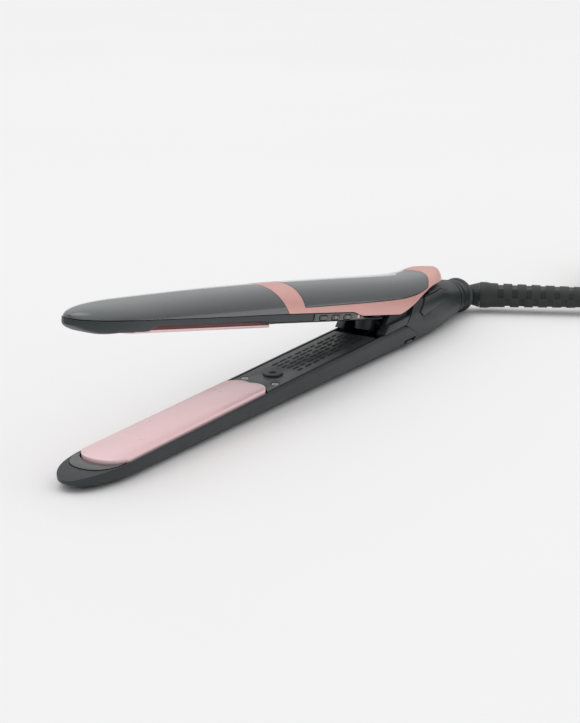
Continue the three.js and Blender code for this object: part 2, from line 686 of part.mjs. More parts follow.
// Region of the handle panel: above its edge in side view, with a slanted front, and inside a
// tongue with a round end in plan.
function panelRegion(grow) {
  const side = [];
  for (let i = 0; i <= 10; i += 1) {
    const x = -88 + ((34 + 88) * i) / 10;
    side.push([i === 0 ? x - grow : x, panelEdge(x) - grow]);
  }
  side.push([36, 40], [-92 - grow, 40], [-92 - grow, 18]);
  const tongue = new THREE.Shape();
  const end = PANEL_END + grow;
  tongue.moveTo(-100, -20);
  tongue.lineTo(PANEL_ROUND, -20);
  for (let i = 0; i <= 16; i += 1) {
    const a = -Math.PI / 2 + (i / 16) * Math.PI;
    const x = PANEL_ROUND + (end - PANEL_ROUND) * Math.abs(Math.cos(a)) ** 0.87;
    tongue.lineTo(x, (14 + grow) * Math.sign(a) * Math.abs(Math.sin(a)) ** 0.87);
  }
  tongue.lineTo(PANEL_ROUND, 20);
  tongue.lineTo(-100, 20);
  tongue.closePath();
  return sideBody(side, -30, 30).intersect(planBody(tongue, -5, 45));
}

function trimRing() {
  const [low, high] = jointLine(0.2);
  const front = sideBody([low, [90, -5], [90, 60], [high[0], 60], high], -30, 30);
  return handleSkin(0, 2.0).intersect(aboveSeam(0))
    .intersect(front).subtract(panelRegion(0.25));
}

function handlePanel() {
  return handleSkin(0, 1.8).intersect(panelRegion(0));
}

function tailLiner() {
  const plug = loft(stations(12, TAIL_X - 3.4, 6, 0, 14), (x) => ({
    ...upperSection(2.35)(x), zMin: 4.2 }), 20);
  const region = regionAbove((x) => seam(x) + 0.9, 12, TAIL_X - 6, 8);
  return plug.intersect(region);
}

function upperHousing() {
  const outer = loft(stations(TIP_X + 0.6, -22, 15, 32.4), housingSection(0, 0, () => 30), 22)
    .subtract(aboveSeam(-GAP));
  const cavityUp = loft(stations(-221, -25, 5, 18), (x) => ({
    ...housingSection(1.7, 1.6, () => 30)(x), up: 12, nUp: 12 }), 18);
  const plateWell = planBody(plateOutline(0.7), -2, 8);
  const crescent = planBody(crescentOutline(GAP), -2, 2.5);
  const coverSeat = planBody(innerCoverOutline(11.0, PLATE_REAR - 1, -24.5), 0, 2.7);
  let body = outer.subtract(cavityUp).subtract(plateWell).subtract(crescent);
  const seat = boxBody(-81.5, -39.4, -20, -10.9, 1.75, 12);
  body = body.subtract(seat);
  const tongue = boxBody(-30, 4.0, -7.9, 7.9, 1.6, 4.6);
  const lug = (y0, y1) => rodBody([0, y0, HINGE_Z], [0, y1, HINGE_Z], 5.2, 28)
    .add(sideBody([[-4.9, HINGE_Z], [4.9, HINGE_Z], [4.6, 3.4], [-6.5, 3.4]], y0, y1));
  const boss = rodBody([-14, 0, -4.4], [-14, 0, 3.2], 4.7, 28);
  body = join(body, tongue, lug(-7.7, -2.9), lug(2.9, 7.7), boss);
  const bore = rodBody([-14, 0, -6], [-14, 0, -2.8], 2.2, 20);
  return body.subtract(knuckleHole()).subtract(boxBody(-9.2, 6, -2.9, 2.9, -9, 1.9).intersect(
    rodBody([0, -2.9, HINGE_Z], [0, 2.9, HINGE_Z], 6.4, 24))).subtract(bore);
}

function buttonPanel() {
  const blank = loft(stations(-90, -30, 5), (x) => ({
    b: upperHalf(x) + 0.25, z0: 4.0, up: 3, down: 3.2, nUp: 9, nDown: 3.4, zMin: 2.0, zMax: 30,
  }), 24).subtract(aboveSeam(-GAP - 0.05));
  let body = blank.intersect(boxBody(-81.2, -39.7, -20, -11.2, 0, 12));
  for (const x of BUTTON_X) body = body.subtract(slotBody(x, 3.4, 1.25, -20, -5));
  return body.subtract(slotBody(-44.2, 1.2, 1.2, -20, -5));
}

// Rounded bar lying across Y, centred at (x, 3.7) in side view.
function slotBody(x, half, r, y0, y1, z = 3.7) {
  const s = new THREE.Shape();
  s.absarc(x + half - r + 0.001, z, r, -Math.PI / 2, Math.PI / 2, false);
  s.absarc(x - half + r - 0.001, z, r, Math.PI / 2, (3 * Math.PI) / 2, false);
  s.closePath();
  const g = new THREE.ExtrudeGeometry(s, { depth: y1 - y0, bevelEnabled: false, curveSegments: 5 });
  g.rotateX(Math.PI / 2);
  g.translate(0, y1, 0);
  return solid(g);
}

function buildUpperArm() {
  add(upperFrame, 'upper_front_cover', frontCover(), gunmetal);
  add(upperFrame, 'trim_ring', trimRing(), rose);
  add(upperFrame, 'handle_panel', handlePanel(), gunmetal);
  add(upperFrame, 'tail_liner', tailLiner(), charcoal);
  add(upperFrame, 'upper_housing', upperHousing(), charcoal);
  add(upperFrame, 'upper_tip_insert', planBody(crescentOutline(0), 0.55, 2.2)
    .intersect(loft(stations(TIP_X + 1, -190, 6, 33), housingSection(0.5, 0, () => 9), 30)), glossBlack);
  add(upperFrame, 'button_panel', buttonPanel(), glossBlack);
  const faceY = -13.5;
  add(upperFrame, 'button_minus', slotBody(BUTTON_X[0], 3.1, 0.95, faceY, -11.6), glossBlack);
  add(upperFrame, 'button_power', slotBody(BUTTON_X[1], 3.1, 0.95, faceY, -11.6), glossBlack);
  add(upperFrame, 'button_plus', slotBody(BUTTON_X[2], 3.1, 0.95, faceY, -11.6), glossBlack);
  add(upperFrame, 'status_lens', slotBody(-44.2, 0.901, 0.9, -13.4, -11.6), material(0xf2c9c2, 0.3));
  add(upperFrame, 'circuit_board', boxBody(-80, -41, -10.1, -8.9, 3.2, 8.4), material(0x2f6a45, 0.6));
  add(upperFrame, 'upper_plate', plateBody(0.1, 0.1 + PLATE_THICK, false), ceramic);
  add(upperFrame, 'upper_heater', slab(-196, -120, 6, 3.0, 4.0, 1), brass);
  add(upperFrame, 'upper_plate_carrier', slab(-200, -116, 8, 4.3, 5.6), steel);
  add(upperFrame, 'upper_pad_front', slab(-188, -178, 4, 6.4, 9.6, 1), rubber);
  add(upperFrame, 'upper_pad_rear', slab(-134, -124, 4.5, 6.4, 13.0, 1), rubber);
}

// ---------------------------------------------------------------- cord
// The cord end is drawn in the resting frame: z = 0 is the surface, the ball's centre is given.
const cordFrame = new THREE.Group();
iron.add(cordFrame);

function ballCentre() {
  return new THREE.Vector3(BALL_X, 0, BALL_Z).applyAxisAngle(new THREE.Vector3(0, 1, 0), -rad(REST_SLOPE));
}

function along3(origin, direction, distance, dz = 0) {
  return [origin.x + direction.x * distance, origin.y + direction.y * distance, origin.z + dz];
}

function swivelBall(centre, direction) {
  const g = new THREE.SphereGeometry(BALL_R, 20, 12);
  g.translate(centre.x, centre.y, centre.z);
  const stem = rodBody(along3(centre, direction, 3), along3(centre, direction, RELIEF_START - GAP),
    4.8, 24, 6.2);
  const spigot = rodBody(along3(centre, direction, 7), along3(centre, direction, RELIEF_START + 2),
    2.95, 20);
  return join(solid(g), stem, spigot);
}

// Tapered sleeve with ribs: slots cut in from above and, half a pitch on, from below.
function strainRelief(centre, direction) {
  const L = RELIEF_LENGTH;
  const profile = [[3.3, 0], [6.2, 0], [6.4, 0.6], [6.4, 3.6], [6.1, 5.0], [5.95, 8],
    [5.0, L - 0.6], [4.6, L], [3.3, L], [3.3, 0]];
  const g = new THREE.LatheGeometry(profile.map(([r, h]) => new THREE.Vector2(r, h)), 20);
  let body = solid(outward(g));
  const pitch = 6.9;
  for (let i = 0; i < 7; i += 1) {
    const y = 9.0 + i * pitch;
    for (const [shift, sign] of [[0, 1], [pitch / 2, -1]]) {
      if (y + shift + 2.6 > L - 2) continue;
      const cut = new THREE.BoxGeometry(16, 2.6, 5);
      cut.translate(0, y + shift + 1.3, sign * (4.3 + 2.5));
      body = body.subtract(solid(cut));
      for (const side of [-1, 1]) {
        const flank = new THREE.BoxGeometry(5, 2.6, 7);
        flank.translate(side * (4.3 + 2.5), y + shift + 1.3, sign * 3.6);
        body = body.subtract(solid(flank));
      }
    }
  }
  const out = geometryOf(body);
  out.applyQuaternion(new THREE.Quaternion().setFromUnitVectors(
    new THREE.Vector3(0, 1, 0), new THREE.Vector3(direction.x, direction.y, 0)));
  const start = along3(centre, direction, RELIEF_START);
  out.translate(...start);
  return out;
}

// The wound part of the cord: a ring as wide and as high as its turns.
const coilTop = (bed) => bed + (COIL_LAYERS - 1) * COIL_PITCH + CORD_R;

function coilRing(cx, cy, z1) {
  const r1 = COIL_OUTER_R + CORD_R;
  const r0 = COIL_OUTER_R - COIL_LAP * COIL_PITCH - CORD_R;
  const c = 2.0;
  const z0 = 0.02;
  const profile = [[r0 + c, z0], [r1 - c, z0], [r1, z0 + c], [r1, z1 - c], [r1 - c, z1], [r0 + c, z1],
    [r0, z1 - c], [r0, z0 + c], [r0 + c, z0]];
  const g = new THREE.LatheGeometry(profile.map(([r, h]) => new THREE.Vector2(r, h)), 40);
  g.rotateX(Math.PI / 2);
  g.translate(cx, cy, 0);
  return outward(g);
}

function buildCord(lowest) {
  const centre = ballCentre();
  centre.z -= lowest;
  const d = new THREE.Vector3(Math.cos(rad(CORD_YAW)), Math.sin(rad(CORD_YAW)), 0);
  const n = new THREE.Vector3(-d.y, d.x, 0);
  // A point `ahead` of the ball along the cord's first direction and `aside` to its left.
  const place = (ahead, aside, z) => new THREE.Vector3(
    centre.x + d.x * ahead + n.x * aside, centre.y + d.y * ahead + n.y * aside, z);
  add(cordFrame, 'swivel_ball', swivelBall(centre, d), rubber);
  add(cordFrame, 'strain_relief', strainRelief(centre, d), rubber);

  // The cord runs straight out of the sleeve, sinks to the surface and meets the coil's outer turn.
  const exit = RELIEF_START + RELIEF_LENGTH + GAP;
  const bed = CORD_R + 0.12;
  const lead = [];
  for (let i = 0; i <= 5; i += 1) {
    const s = (LEAD_LENGTH * i) / 5;
    const fall = THREE.MathUtils.smoothstep(s, 2, 36);
    lead.push(place(exit + s, 0, centre.z + (bed - centre.z) * fall));
  }
  add(cordFrame, 'cord_lead', tubeGeometry(lead, CORD_R, 8, 10), rubber);
  const reach = Math.sqrt((COIL_OUTER_R + CORD_R) ** 2 - (COIL_OUTER_R - CORD_R) ** 2) + 2 * GAP;
  const coilAt = exit + LEAD_LENGTH + reach;
  const coil = place(coilAt, COIL_OUTER_R, 0);
  const top = coilTop(bed);
  add(cordFrame, 'cord_coil', coilRing(coil.x, coil.y, top), rubber);

  // The free end rises from the inner turn of the top layer to the plug, which lies on the coil
  // with its pins towards +Y.
  const turns = COIL_WHOLE_TURNS + (90 - CORD_YAW) / 360;
  const layer = bed + (COIL_LAYERS - 1) * COIL_PITCH;
  const plugZ = top + PLUG_HALF_THICK + GAP;
  const lastLayerFrom = COIL_LAYERS * COIL_LAP + 2 * COIL_CLIMB - COIL_LAP;
  const onCoil = (turn) => {
    const r = COIL_OUTER_R - COIL_PITCH * (turn - lastLayerFrom);
    const a = turn * 2 * Math.PI;
    const rise = THREE.MathUtils.smoothstep(turn, turns - COIL_CLIMB, turns);
    return place(coilAt + r * Math.sin(a), COIL_OUTER_R - r * Math.cos(a),
      layer + (plugZ - layer) * rise);
  };
  const tail = [];
  for (let i = 0; i <= 8; i += 1) tail.push(onCoil(turns - 0.18 + (0.18 * i) / 8));
  const end = tail[tail.length - 1].clone();
  tail.push(new THREE.Vector3(end.x, end.y + 2, plugZ));
  add(cordFrame, 'cord_tail', tubeGeometry(tail, CORD_R, 16, 10), rubber);
  buildPlug(new THREE.Vector3(end.x, end.y + 2 + GAP, plugZ), new THREE.Vector3(0, 1, 0));
  buildTie(coil.x, coil.y, top);
}

// Flat two-pin plug with a ribbed sleeve.  Drawn along +Y from its cord end, then turned.
function buildPlug(at, direction) {
  const turn = new THREE.Quaternion().setFromUnitVectors(new THREE.Vector3(0, 1, 0), direction);
  const place = (body) => {
    const g = geometryOf(body);
    g.applyQuaternion(turn);
    g.translate(at.x, at.y, at.z);
    return g;
  };
  const sleeveG = new THREE.CylinderGeometry(5.2, 3.6, 14, 20);
  sleeveG.translate(0, 7, 0);
  const outline = new THREE.Shape();
  outline.moveTo(-6.5, 13);
  outline.quadraticCurveTo(-13, 17, -15.5, 27);
  outline.lineTo(-15.5, 33);
  outline.lineTo(15.5, 33);
  outline.lineTo(15.5, 27);
  outline.quadraticCurveTo(13, 17, 6.5, 13);
  outline.closePath();
  const flat = new THREE.ExtrudeGeometry(outline, { depth: 13, bevelEnabled: true, bevelSize: 1.2,
    bevelThickness: 1.2, bevelSegments: 2, curveSegments: 8 });
  flat.translate(0, 0, -6.5);
  let body = solid(sleeveG).add(solid(flat));
  for (const x of [-9.5, 9.5]) body = body.subtract(rodBody([x, 30.5, 0], [x, 37, 0], 2.3, 16));
  add(cordFrame, 'plug_body', place(body), rubber);
  [-9.5, 9.5].forEach((x, i) => {
    const pin = rodBody([x, 30.9, 0], [x, 51.5, 0], 2.0, 16)
      .add(rodBody([x, 51.5, 0], [x, 52.6, 0], 2.0, 16, 1.2));
    add(cordFrame, `plug_pin_${i + 1}`, place(pin), steel);
  });
}

// Strap round the coil.
function buildTie(cx, cy, top) {
  const half = (COIL_LAP * COIL_PITCH) / 2 + CORD_R;
  const r = COIL_OUTER_R + CORD_R - half;
  const band = boxBody(r - half - 2.7, r + half + 2, -6, 6, 0, top + 1.8)
    .subtract(boxBody(r - half - 1.3, r + half + 0.5, -8, 8, -3, top + 0.5));
  const g = geometryOf(band);
  g.rotateZ(rad(TIE_TURN));
  g.translate(cx, cy, 0);
  add(cordFrame, 'cord_tie', g, rubber);
}

// ---------------------------------------------------------------- assembly
buildLowerArm();
buildHinge();
buildUpperArm();

// The iron's own lowest point and middle set the origin.
iron.updateMatrixWorld(true);
const bounds = new THREE.Box3().setFromObject(armFrame, true);
const lowest = bounds.min.z;
const drop = new THREE.Vector3(0, 0, -lowest);
armFrame.position.add(drop);
buildCord(lowest);
iron.updateMatrixWorld(true);
const own = new THREE.Box3();
iron.traverse((o) => {
  if (o.isMesh && !/^(cord_|plug_|strain_)/.test(o.name)) own.expandByObject(o, true);
});
const shift = new THREE.Vector3(-(own.min.x + own.max.x) / 2, 0, 0);
armFrame.position.add(shift);
cordFrame.position.add(shift);
iron.updateMatrixWorld(true);

export default iron;
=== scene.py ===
import json
import math

import bpy
from bpy.props import FloatProperty, FloatVectorProperty, PointerProperty
from mathutils import Matrix, Vector


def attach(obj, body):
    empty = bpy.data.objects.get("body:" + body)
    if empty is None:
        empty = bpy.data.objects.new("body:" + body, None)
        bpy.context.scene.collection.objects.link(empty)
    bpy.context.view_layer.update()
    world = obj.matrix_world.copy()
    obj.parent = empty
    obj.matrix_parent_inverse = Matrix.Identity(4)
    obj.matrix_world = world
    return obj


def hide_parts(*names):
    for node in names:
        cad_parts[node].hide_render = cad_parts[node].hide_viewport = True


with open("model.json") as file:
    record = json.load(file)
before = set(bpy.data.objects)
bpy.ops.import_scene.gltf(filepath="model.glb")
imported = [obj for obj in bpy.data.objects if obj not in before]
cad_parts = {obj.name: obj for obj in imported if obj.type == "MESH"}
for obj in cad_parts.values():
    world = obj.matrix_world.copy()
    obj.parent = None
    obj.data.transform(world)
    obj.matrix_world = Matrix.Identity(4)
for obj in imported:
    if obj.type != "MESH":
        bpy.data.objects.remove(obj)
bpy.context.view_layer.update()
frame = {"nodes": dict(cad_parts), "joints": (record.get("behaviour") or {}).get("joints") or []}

bl_info = {
    "name": "Flat Iron",
    "version": (1, 0, 0),
    "blender": (4, 5, 0),
    "location": "3D View > Sidebar > Flat Iron",
    "description": "Builds the visible pieces of a hair straightener round its frame",
    "category": "Add Mesh",
}

JOINTS = {joint["name"]: joint for joint in frame["joints"]}

# Both arms are drawn closed and in millimetres, in an arm frame: x = 0 at the hinge pin and
# z = 0 on the plane where the two plates meet.
GAP = 0.3  # between touching pieces
PIN_Z = -2.0
TIP_X = -229  # nose of both arms
PLATE_FRONT = -204  # the plate's straight sides start here
PLATE_REAR = -112.5  # and end here
PLATE_BOW_FRONT = 7.5
PLATE_BOW_REAR = 5.0
PLATE_THICK = 2.6
RIM_Z = -1.5  # rim of the lower shell
COVER_REAR = -23
JOINT_X = -100.6  # front cover meets the trim ring, at their lower edge
JOINT_LEAN = 0.84  # forward lean of that joint per millimetre of height
PANEL_ROUND = 8  # the handle panel starts to narrow to its round end
PANEL_END = 27
TAIL_X = 45  # rear end of the trim ring
NECK_X = 73
UNDER_X = 4
UNDER_Z = -13.8
BALL_X = 78.5
BALL_Z = -7.6
BALL_R = 6.2
BUTTONS = {"minus": -74, "power": -64, "plus": -54}
LENS_X = -44.2
SLOPE = 1.5
DETAIL = 1.0

# The cord's end is laid out from the ball's centre, in millimetres.
CORD_YAW = -63
RELIEF_START = 9.3
RELIEF_LENGTH = 60
LEAD_LENGTH = 15
COIL_OUTER_R = 40  # the outermost turn's centre line
COIL_LAP = 2.55  # turns side by side in a layer
COIL_PITCH = 6.1
COIL_LAYERS = 3
COIL_CLIMB = 0.4  # turns taken to climb to the next layer
COIL_WHOLE_TURNS = 8
PLUG_HALF_THICK = 7.7


# ---------------------------------------------------------------- sizes and colours
class FlatironSizes(bpy.types.PropertyGroup):
    rest_slope: FloatProperty(
        name="Rest slope", description="Angle between the plates' plane and the surface",
        default=math.radians(SLOPE), subtype="ANGLE")
    open_angle: FloatProperty(
        name="Opening", description="Angle between the arms at rest",
        default=math.radians(13.2), subtype="ANGLE")
    plate_half: FloatProperty(
        name="Plate half width", description="Half the width of a plate",
        default=0.011, unit="LENGTH", subtype="DISTANCE")
    wall: FloatProperty(
        name="Wall", description="Thickness of the plastic walls",
        default=0.0017, unit="LENGTH", subtype="DISTANCE")
    edge: FloatProperty(
        name="Edge radius", description="Rounding of moulded edges",
        default=0.00028, unit="LENGTH", subtype="DISTANCE")
    cord_diameter: FloatProperty(
        name="Cord diameter", description="Outside diameter of the mains cord",
        default=0.006, unit="LENGTH", subtype="DISTANCE")
    cord_length: FloatProperty(
        name="Cord length", description="From the strain relief to the plug",
        default=1.75, unit="LENGTH", subtype="DISTANCE")


def colour(name, what, value):
    return FloatVectorProperty(
        name=name, description=what, default=value, size=3, min=0, max=1, subtype="COLOR")


class FlatironColours(bpy.types.PropertyGroup):
    charcoal: colour("Charcoal", "Matte shells and hinge", (0.018, 0.024, 0.027))
    gunmetal: colour("Gunmetal", "Gloss covers of the upper arm", (0.085, 0.094, 0.1))
    black: colour("Gloss black", "Tip inserts, buttons and their panel", (0.012, 0.014, 0.016))
    rose: colour("Rose", "Metallic trim ring", (0.76, 0.41, 0.37))
    ceramic: colour("Ceramic", "Coating of the plates", (0.93, 0.66, 0.68))
    rubber: colour("Rubber", "Cord, sleeve and plug", (0.012, 0.013, 0.014))


def sizes():
    return bpy.context.scene.flatiron_sizes


def colours():
    return bpy.context.scene.flatiron_colours


def millimetres(value):
    return value * 1000


# ---------------------------------------------------------------- places
def arm_matrix(turn):
    """Arm frame in millimetres to the part's frame in metres, turned about the hinge pin."""
    pin = Vector(JOINTS["arm_hinge"]["pos_m"])
    return (Matrix.Translation(pin) @ Matrix.Rotation(turn, 4, "Y")
            @ Matrix.Scale(0.001, 4) @ Matrix.Translation((0, 0, -PIN_Z)))


def lower():
    return arm_matrix(-sizes().rest_slope)


def upper():
    return arm_matrix(sizes().open_angle - sizes().rest_slope)


def cord_end():
    """Ball's centre, and the cord's directions ahead and to its left, in metres."""
    ball = lower() @ Vector((BALL_X, 0, BALL_Z))
    yaw = math.radians(CORD_YAW)
    ahead = Vector((math.cos(yaw), math.sin(yaw), 0))
    return ball, ahead, Vector((-ahead.y, ahead.x, 0))


def cord_matrix():
    """Millimetres along the cord's first direction (x), to its left (y) and up (z), to metres."""
    ball, ahead, left = cord_end()
    turn = Matrix((ahead, left, Vector((0, 0, 1)))).transposed().to_4x4()
    return Matrix.Translation(ball) @ turn @ Matrix.Scale(0.001, 4)


# ---------------------------------------------------------------- profiles
def along(points, x):
    """Smooth value along x through stations (x, value)."""
    last = len(points) - 1
    if x <= points[0][0]:
        return points[0][1]
    if x >= points[last][0]:
        return points[last][1]
    rises = [(b[1] - a[1]) / (b[0] - a[0]) for a, b in zip(points, points[1:])]

    def slope(k):
        if k == 0:
            return rises[0]
        if k == last:
            return rises[-1]
        a, b = rises[k - 1], rises[k]
        return 0 if a * b <= 0 else 2 * a * b / (a + b)

    i = max(k for k in range(last) if points[k][0] <= x)
    h = points[i + 1][0] - points[i][0]
    t = (x - points[i][0]) / h
    return ((2 * t ** 3 - 3 * t ** 2 + 1) * points[i][1] + (t ** 3 - 2 * t ** 2 + t) * h * slope(i)
            + (3 * t ** 2 - 2 * t ** 3) * points[i + 1][1] + (t ** 3 - t ** 2) * h * slope(i + 1))


def bow(x, start, end, width, power=2.4):
    """Half width of a bow that closes at x = end and has its full width from x = start."""
    t = min(max((x - start) / (end - start), 0), 1)
    return width * (1 - t ** power) ** (1 / power)


def smooth_step(value, low, high):
    t = min(max((value - low) / (high - low), 0), 1)
    return t * t * (3 - 2 * t)


def stations(a, b, steps, front=0, rear=0):
    """Places along x from a to b, closer together where an end is a bow."""
    steps = max(3, round(steps * DETAIL))
    ends = max(5, round(14 * DETAIL))
    start, stop = a + front, b - rear
    xs = []
    if front:
        xs += [start - front * math.cos(i / ends * math.pi / 2) for i in range(ends)]
    xs += [start + (stop - start) * i / steps for i in range(steps + 1)]
    if rear:
        xs += [stop + rear * math.sin(i / ends * math.pi / 2) for i in range(1, ends + 1)]
    return xs


def underside(x):
    return UNDER_Z - math.tan(math.radians(SLOPE)) * (x - UNDER_X)


def lower_half(x):
    if x < -200:
        return max(bow(x, -200, TIP_X, 12.7, 2.1), 0.9)
    return along([(-200, 12.7), (-110, 12.8), (-20, 13.3), (14, 13.3), (30, 12.9), (42, 12.0),
                  (54, 10.4), (64, 9.0), (NECK_X, 8.3)], x)


def lower_bottom(x):
    return along([(TIP_X, -4.4), (-225, -6.4), (-219, -7.6), (-211, -8.6),
                  (-200, underside(-200) - 0.9), (-60, underside(-60) - 0.9),
                  (30, underside(30) - 0.9), (48, -14.7), (60, -14.2), (NECK_X, -13.6)], x)


def lower_top(x):
    return along([(TIP_X, -3.0), (-226, -2.2), (-220, -1.7), (-213, RIM_Z), (-100, RIM_Z),
                  (0, RIM_Z)], x)


def lower_section(x, inset=0, **change):
    z0 = along([(TIP_X, -3.7), (-215, -3.4), (-60, -3.8), (10, -4.5), (NECK_X, -6.0)], x)
    section = dict(b=lower_half(x) - inset, z0=z0, up=4.2, down=z0 - lower_bottom(x) - inset,
                   n_up=3.2, n_down=2.5, z_min=underside(x) + inset, z_max=lower_top(x))
    section.update(change)
    return section


def cuff_top(x):
    return along([(2, 4.2), (8, 6.0), (12, 7.2), (18, 8.1), (30, 8.6), (38, 8.3), (50, 6.4),
                  (60, 4.2), (68, 2.2), (NECK_X, 1.2)], x)


def cuff_section(x, inset=0, **change):
    z0 = along([(0, -4.2), (30, -4.2), (NECK_X, -6.2)], x)
    power = along([(0, 5.5), (36, 4.6), (54, 2.8), (66, 2.1), (NECK_X, 2.0)], x)
    section = dict(b=lower_half(x) - inset, z0=z0, up=cuff_top(x) - z0 - inset,
                   down=z0 - lower_bottom(x) - inset, n_up=power,
                   n_down=along([(30, 2.5), (NECK_X, 2.05)], x), z_min=underside(x) + inset,
                   z_max=60)
    section.update(change)
    return section


def upper_half(x):
    if x < -200:
        return max(bow(x, -200, TIP_X, 12.7, 2.1), 0.9)
    if x > 20:
        return max(bow(x, 20, TAIL_X, 13.8, 2.2), 1.2)
    return along([(-200, 12.7), (-103, 12.9), (-40, 13.2), (5, 13.6), (20, 13.8)], x)


def upper_top(x):
    return along([(TIP_X, 6.2), (-226, 7.6), (-220, 9.1), (-212, 10.3), (-200, 11.5), (-170, 13.5),
                  (-140, 15.2), (-98, 17.1), (-40, 19.0), (5, 20.4), (24, 21.9),
                  (36, 24.0), (TAIL_X, 24.4)], x)


def seam(x):
    """Lower edge of the front cover and of the trim ring."""
    return along([(TIP_X, 4.9), (-208, 5.4), (-141, 5.6), (-105, 5.9), (-49, 5.8), (-43, 4.6),
                  (-37, 3.2), (-30, 3.0), (-11, 3.1), (-5, 4.4), (5, 8.2), (15, 13.2),
                  (24, 16.7), (34, 18.7), (TAIL_X, 20.4)], x)


def panel_edge(x):
    return along([(-88, 8.4), (-56, 9.2), (-7, 11.0), (8, 12.8), (18, 15.4), (26, 18.2)], x)


def upper_section(x, inset=0, **change):
    power = along([(TIP_X, 2.2), (-100, 2.4), (-40, 2.5), (20, 3.0), (TAIL_X, 4.0)], x)
    section = dict(b=upper_half(x) - inset, z0=4.0, up=upper_top(x) - 4.0 - inset, down=0.2,
                   n_up=power, n_down=2, z_min=3.9, z_max=60)
    section.update(change)
    return section


def housing_section(x, inset=0, floor=0, **change):
    bottom = along([(TIP_X, 2.6), (-225, 0.8), (-219, -0.5), (-212, -0.8), (-197, -0.8),
                    (-190, 2.1), (-121, 2.1), (-113, 0.8), (-106, 1.0), (-20, 1.0)], x)
    section = dict(b=upper_half(x) - inset, z0=4.0, up=3, down=4.0 - bottom - floor, n_up=9,
                   n_down=3.4, z_min=bottom + floor, z_max=30)
    section.update(change)
    return section


# ---------------------------------------------------------------- modelling steps
def clear_selection():
    if bpy.context.object and bpy.context.object.mode != "OBJECT":
        bpy.ops.object.mode_set(mode="OBJECT")
    bpy.ops.object.select_all(action="DESELECT")


def only(piece):
    clear_selection()
    piece.select_set(True)
    bpy.context.view_layer.objects.active = piece


def named(name):
    piece = bpy.context.object
    piece.name = name
    piece.data.name = name
    return piece


def edit(piece, *steps):
    """Runs edit mode steps on the whole of a piece."""
    only(piece)
    bpy.ops.object.mode_set(mode="EDIT")
    bpy.ops.mesh.select_mode(type="VERT")
    bpy.ops.mesh.select_all(action="SELECT")
    for step in steps:
        step()
    bpy.ops.object.mode_set(mode="OBJECT")


def outward():
    bpy.ops.mesh.normals_make_consistent(inside=False)


def weld():
    bpy.ops.mesh.remove_doubles(threshold=0.0005)


def power_curve(value, power):
    if abs(value) < 1e-9:
        return 0.0
    return math.copysign(abs(value) ** (2 / power), value)


def on_section(section, angle):
    """Point (y, z) of a section at an angle from the near side over the top."""
    c, q = math.cos(angle), math.sin(angle)
    power = section["n_up"] if q > 0 else section["n_down"]
    rise = section["up"] if q > 0 else section["down"]
    z = section["z0"] + rise * power_curve(q, power)
    return section["b"] * power_curve(c, power), min(max(z, section["z_min"]), section["z_max"])


def loft(name, xs, section, around=72):
    """Closed body along x: a circle extruded station by station, each ring set to its section."""
    around = max(24, round(around * DETAIL / 4) * 4)
    clear_selection()
    bpy.ops.mesh.primitive_circle_add(
        vertices=around, radius=1, fill_type="NGON", location=(xs[0], 0, 0),
        rotation=(0, math.pi / 2, 0))
    piece = named(name)
    bpy.ops.object.transform_apply(location=True, rotation=True, scale=True)

    def extrude():
        for a, b in zip(xs, xs[1:]):
            bpy.ops.mesh.extrude_region_move(TRANSFORM_OT_translate={"value": (b - a, 0, 0)})

    edit(piece, extrude)
    sections = [section(x) for x in xs]
    for vertex in piece.data.vertices:
        i = min(range(len(xs)), key=lambda k: abs(xs[k] - vertex.co.x))
        angle = math.atan2(vertex.co.z, vertex.co.y)
        y, z = on_section(sections[i], angle)
        vertex.co = (xs[i], y, z)
    edit(piece, outward)
    return piece


def outline_body(name, points, low, high, axis="Z"):
    """A flat outline raised along an axis: (x, y) along Z, or (x, z) along Y."""
    clear_selection()
    bpy.ops.mesh.primitive_circle_add(vertices=len(points), radius=1, fill_type="NGON")
    piece = named(name)
    for vertex, (a, b) in zip(piece.data.vertices, points):
        vertex.co = (a, b, low) if axis == "Z" else (a, low, b)
    rise = (0, 0, high - low) if axis == "Z" else (0, high - low, 0)
    edit(piece, lambda: bpy.ops.mesh.extrude_region_move(TRANSFORM_OT_translate={"value": rise}),
         lambda: bpy.ops.mesh.select_all(action="SELECT"), outward)
    return piece


def block(name, x0, x1, y0, y1, z0, z1):
    clear_selection()
    bpy.ops.mesh.primitive_cube_add(
        size=1, location=((x0 + x1) / 2, (y0 + y1) / 2, (z0 + z1) / 2),
        scale=(x1 - x0, y1 - y0, z1 - z0))
    bpy.ops.object.transform_apply(location=True, rotation=True, scale=True)
    return named(name)


def rod(name, a, b, radius, radius_2=None, around=48):
    """Round bar from a to b."""
    start, end = Vector(a), Vector(b)
    clear_selection()
    bpy.ops.mesh.primitive_cone_add(
        vertices=around, radius1=radius, radius2=radius if radius_2 is None else radius_2,
        depth=(end - start).length, location=(start + end) / 2,
        rotation=(end - start).to_track_quat("Z", "Y").to_euler())
    bpy.ops.object.transform_apply(location=True, rotation=True, scale=True)
    return named(name)


def turned(name, profile, around=64):
    """Body of revolution about Z from a closed profile of (radius, height), by the spin tool."""
    clear_selection()
    bpy.ops.mesh.primitive_circle_add(vertices=len(profile), radius=1, fill_type="NOTHING")
    piece = named(name)
    for vertex, (r, h) in zip(piece.data.vertices, profile):
        vertex.co = (r, 0, h)
    edit(piece, lambda: bpy.ops.mesh.spin(
        steps=around, angle=2 * math.pi, center=(0, 0, 0), axis=(0, 0, 1), use_auto_merge=True),
        lambda: bpy.ops.mesh.select_all(action="SELECT"), weld, outward)
    return piece


def boolean(piece, operation, others):
    for other in others:
        only(piece)
        step = piece.modifiers.new("cut", "BOOLEAN")
        step.operation = operation
        step.solver = "EXACT"
        step.object = other
        bpy.ops.object.modifier_apply(modifier=step.name)
        bpy.data.objects.remove(other)
    return piece


def cut(piece, *others):
    return boolean(piece, "DIFFERENCE", others)


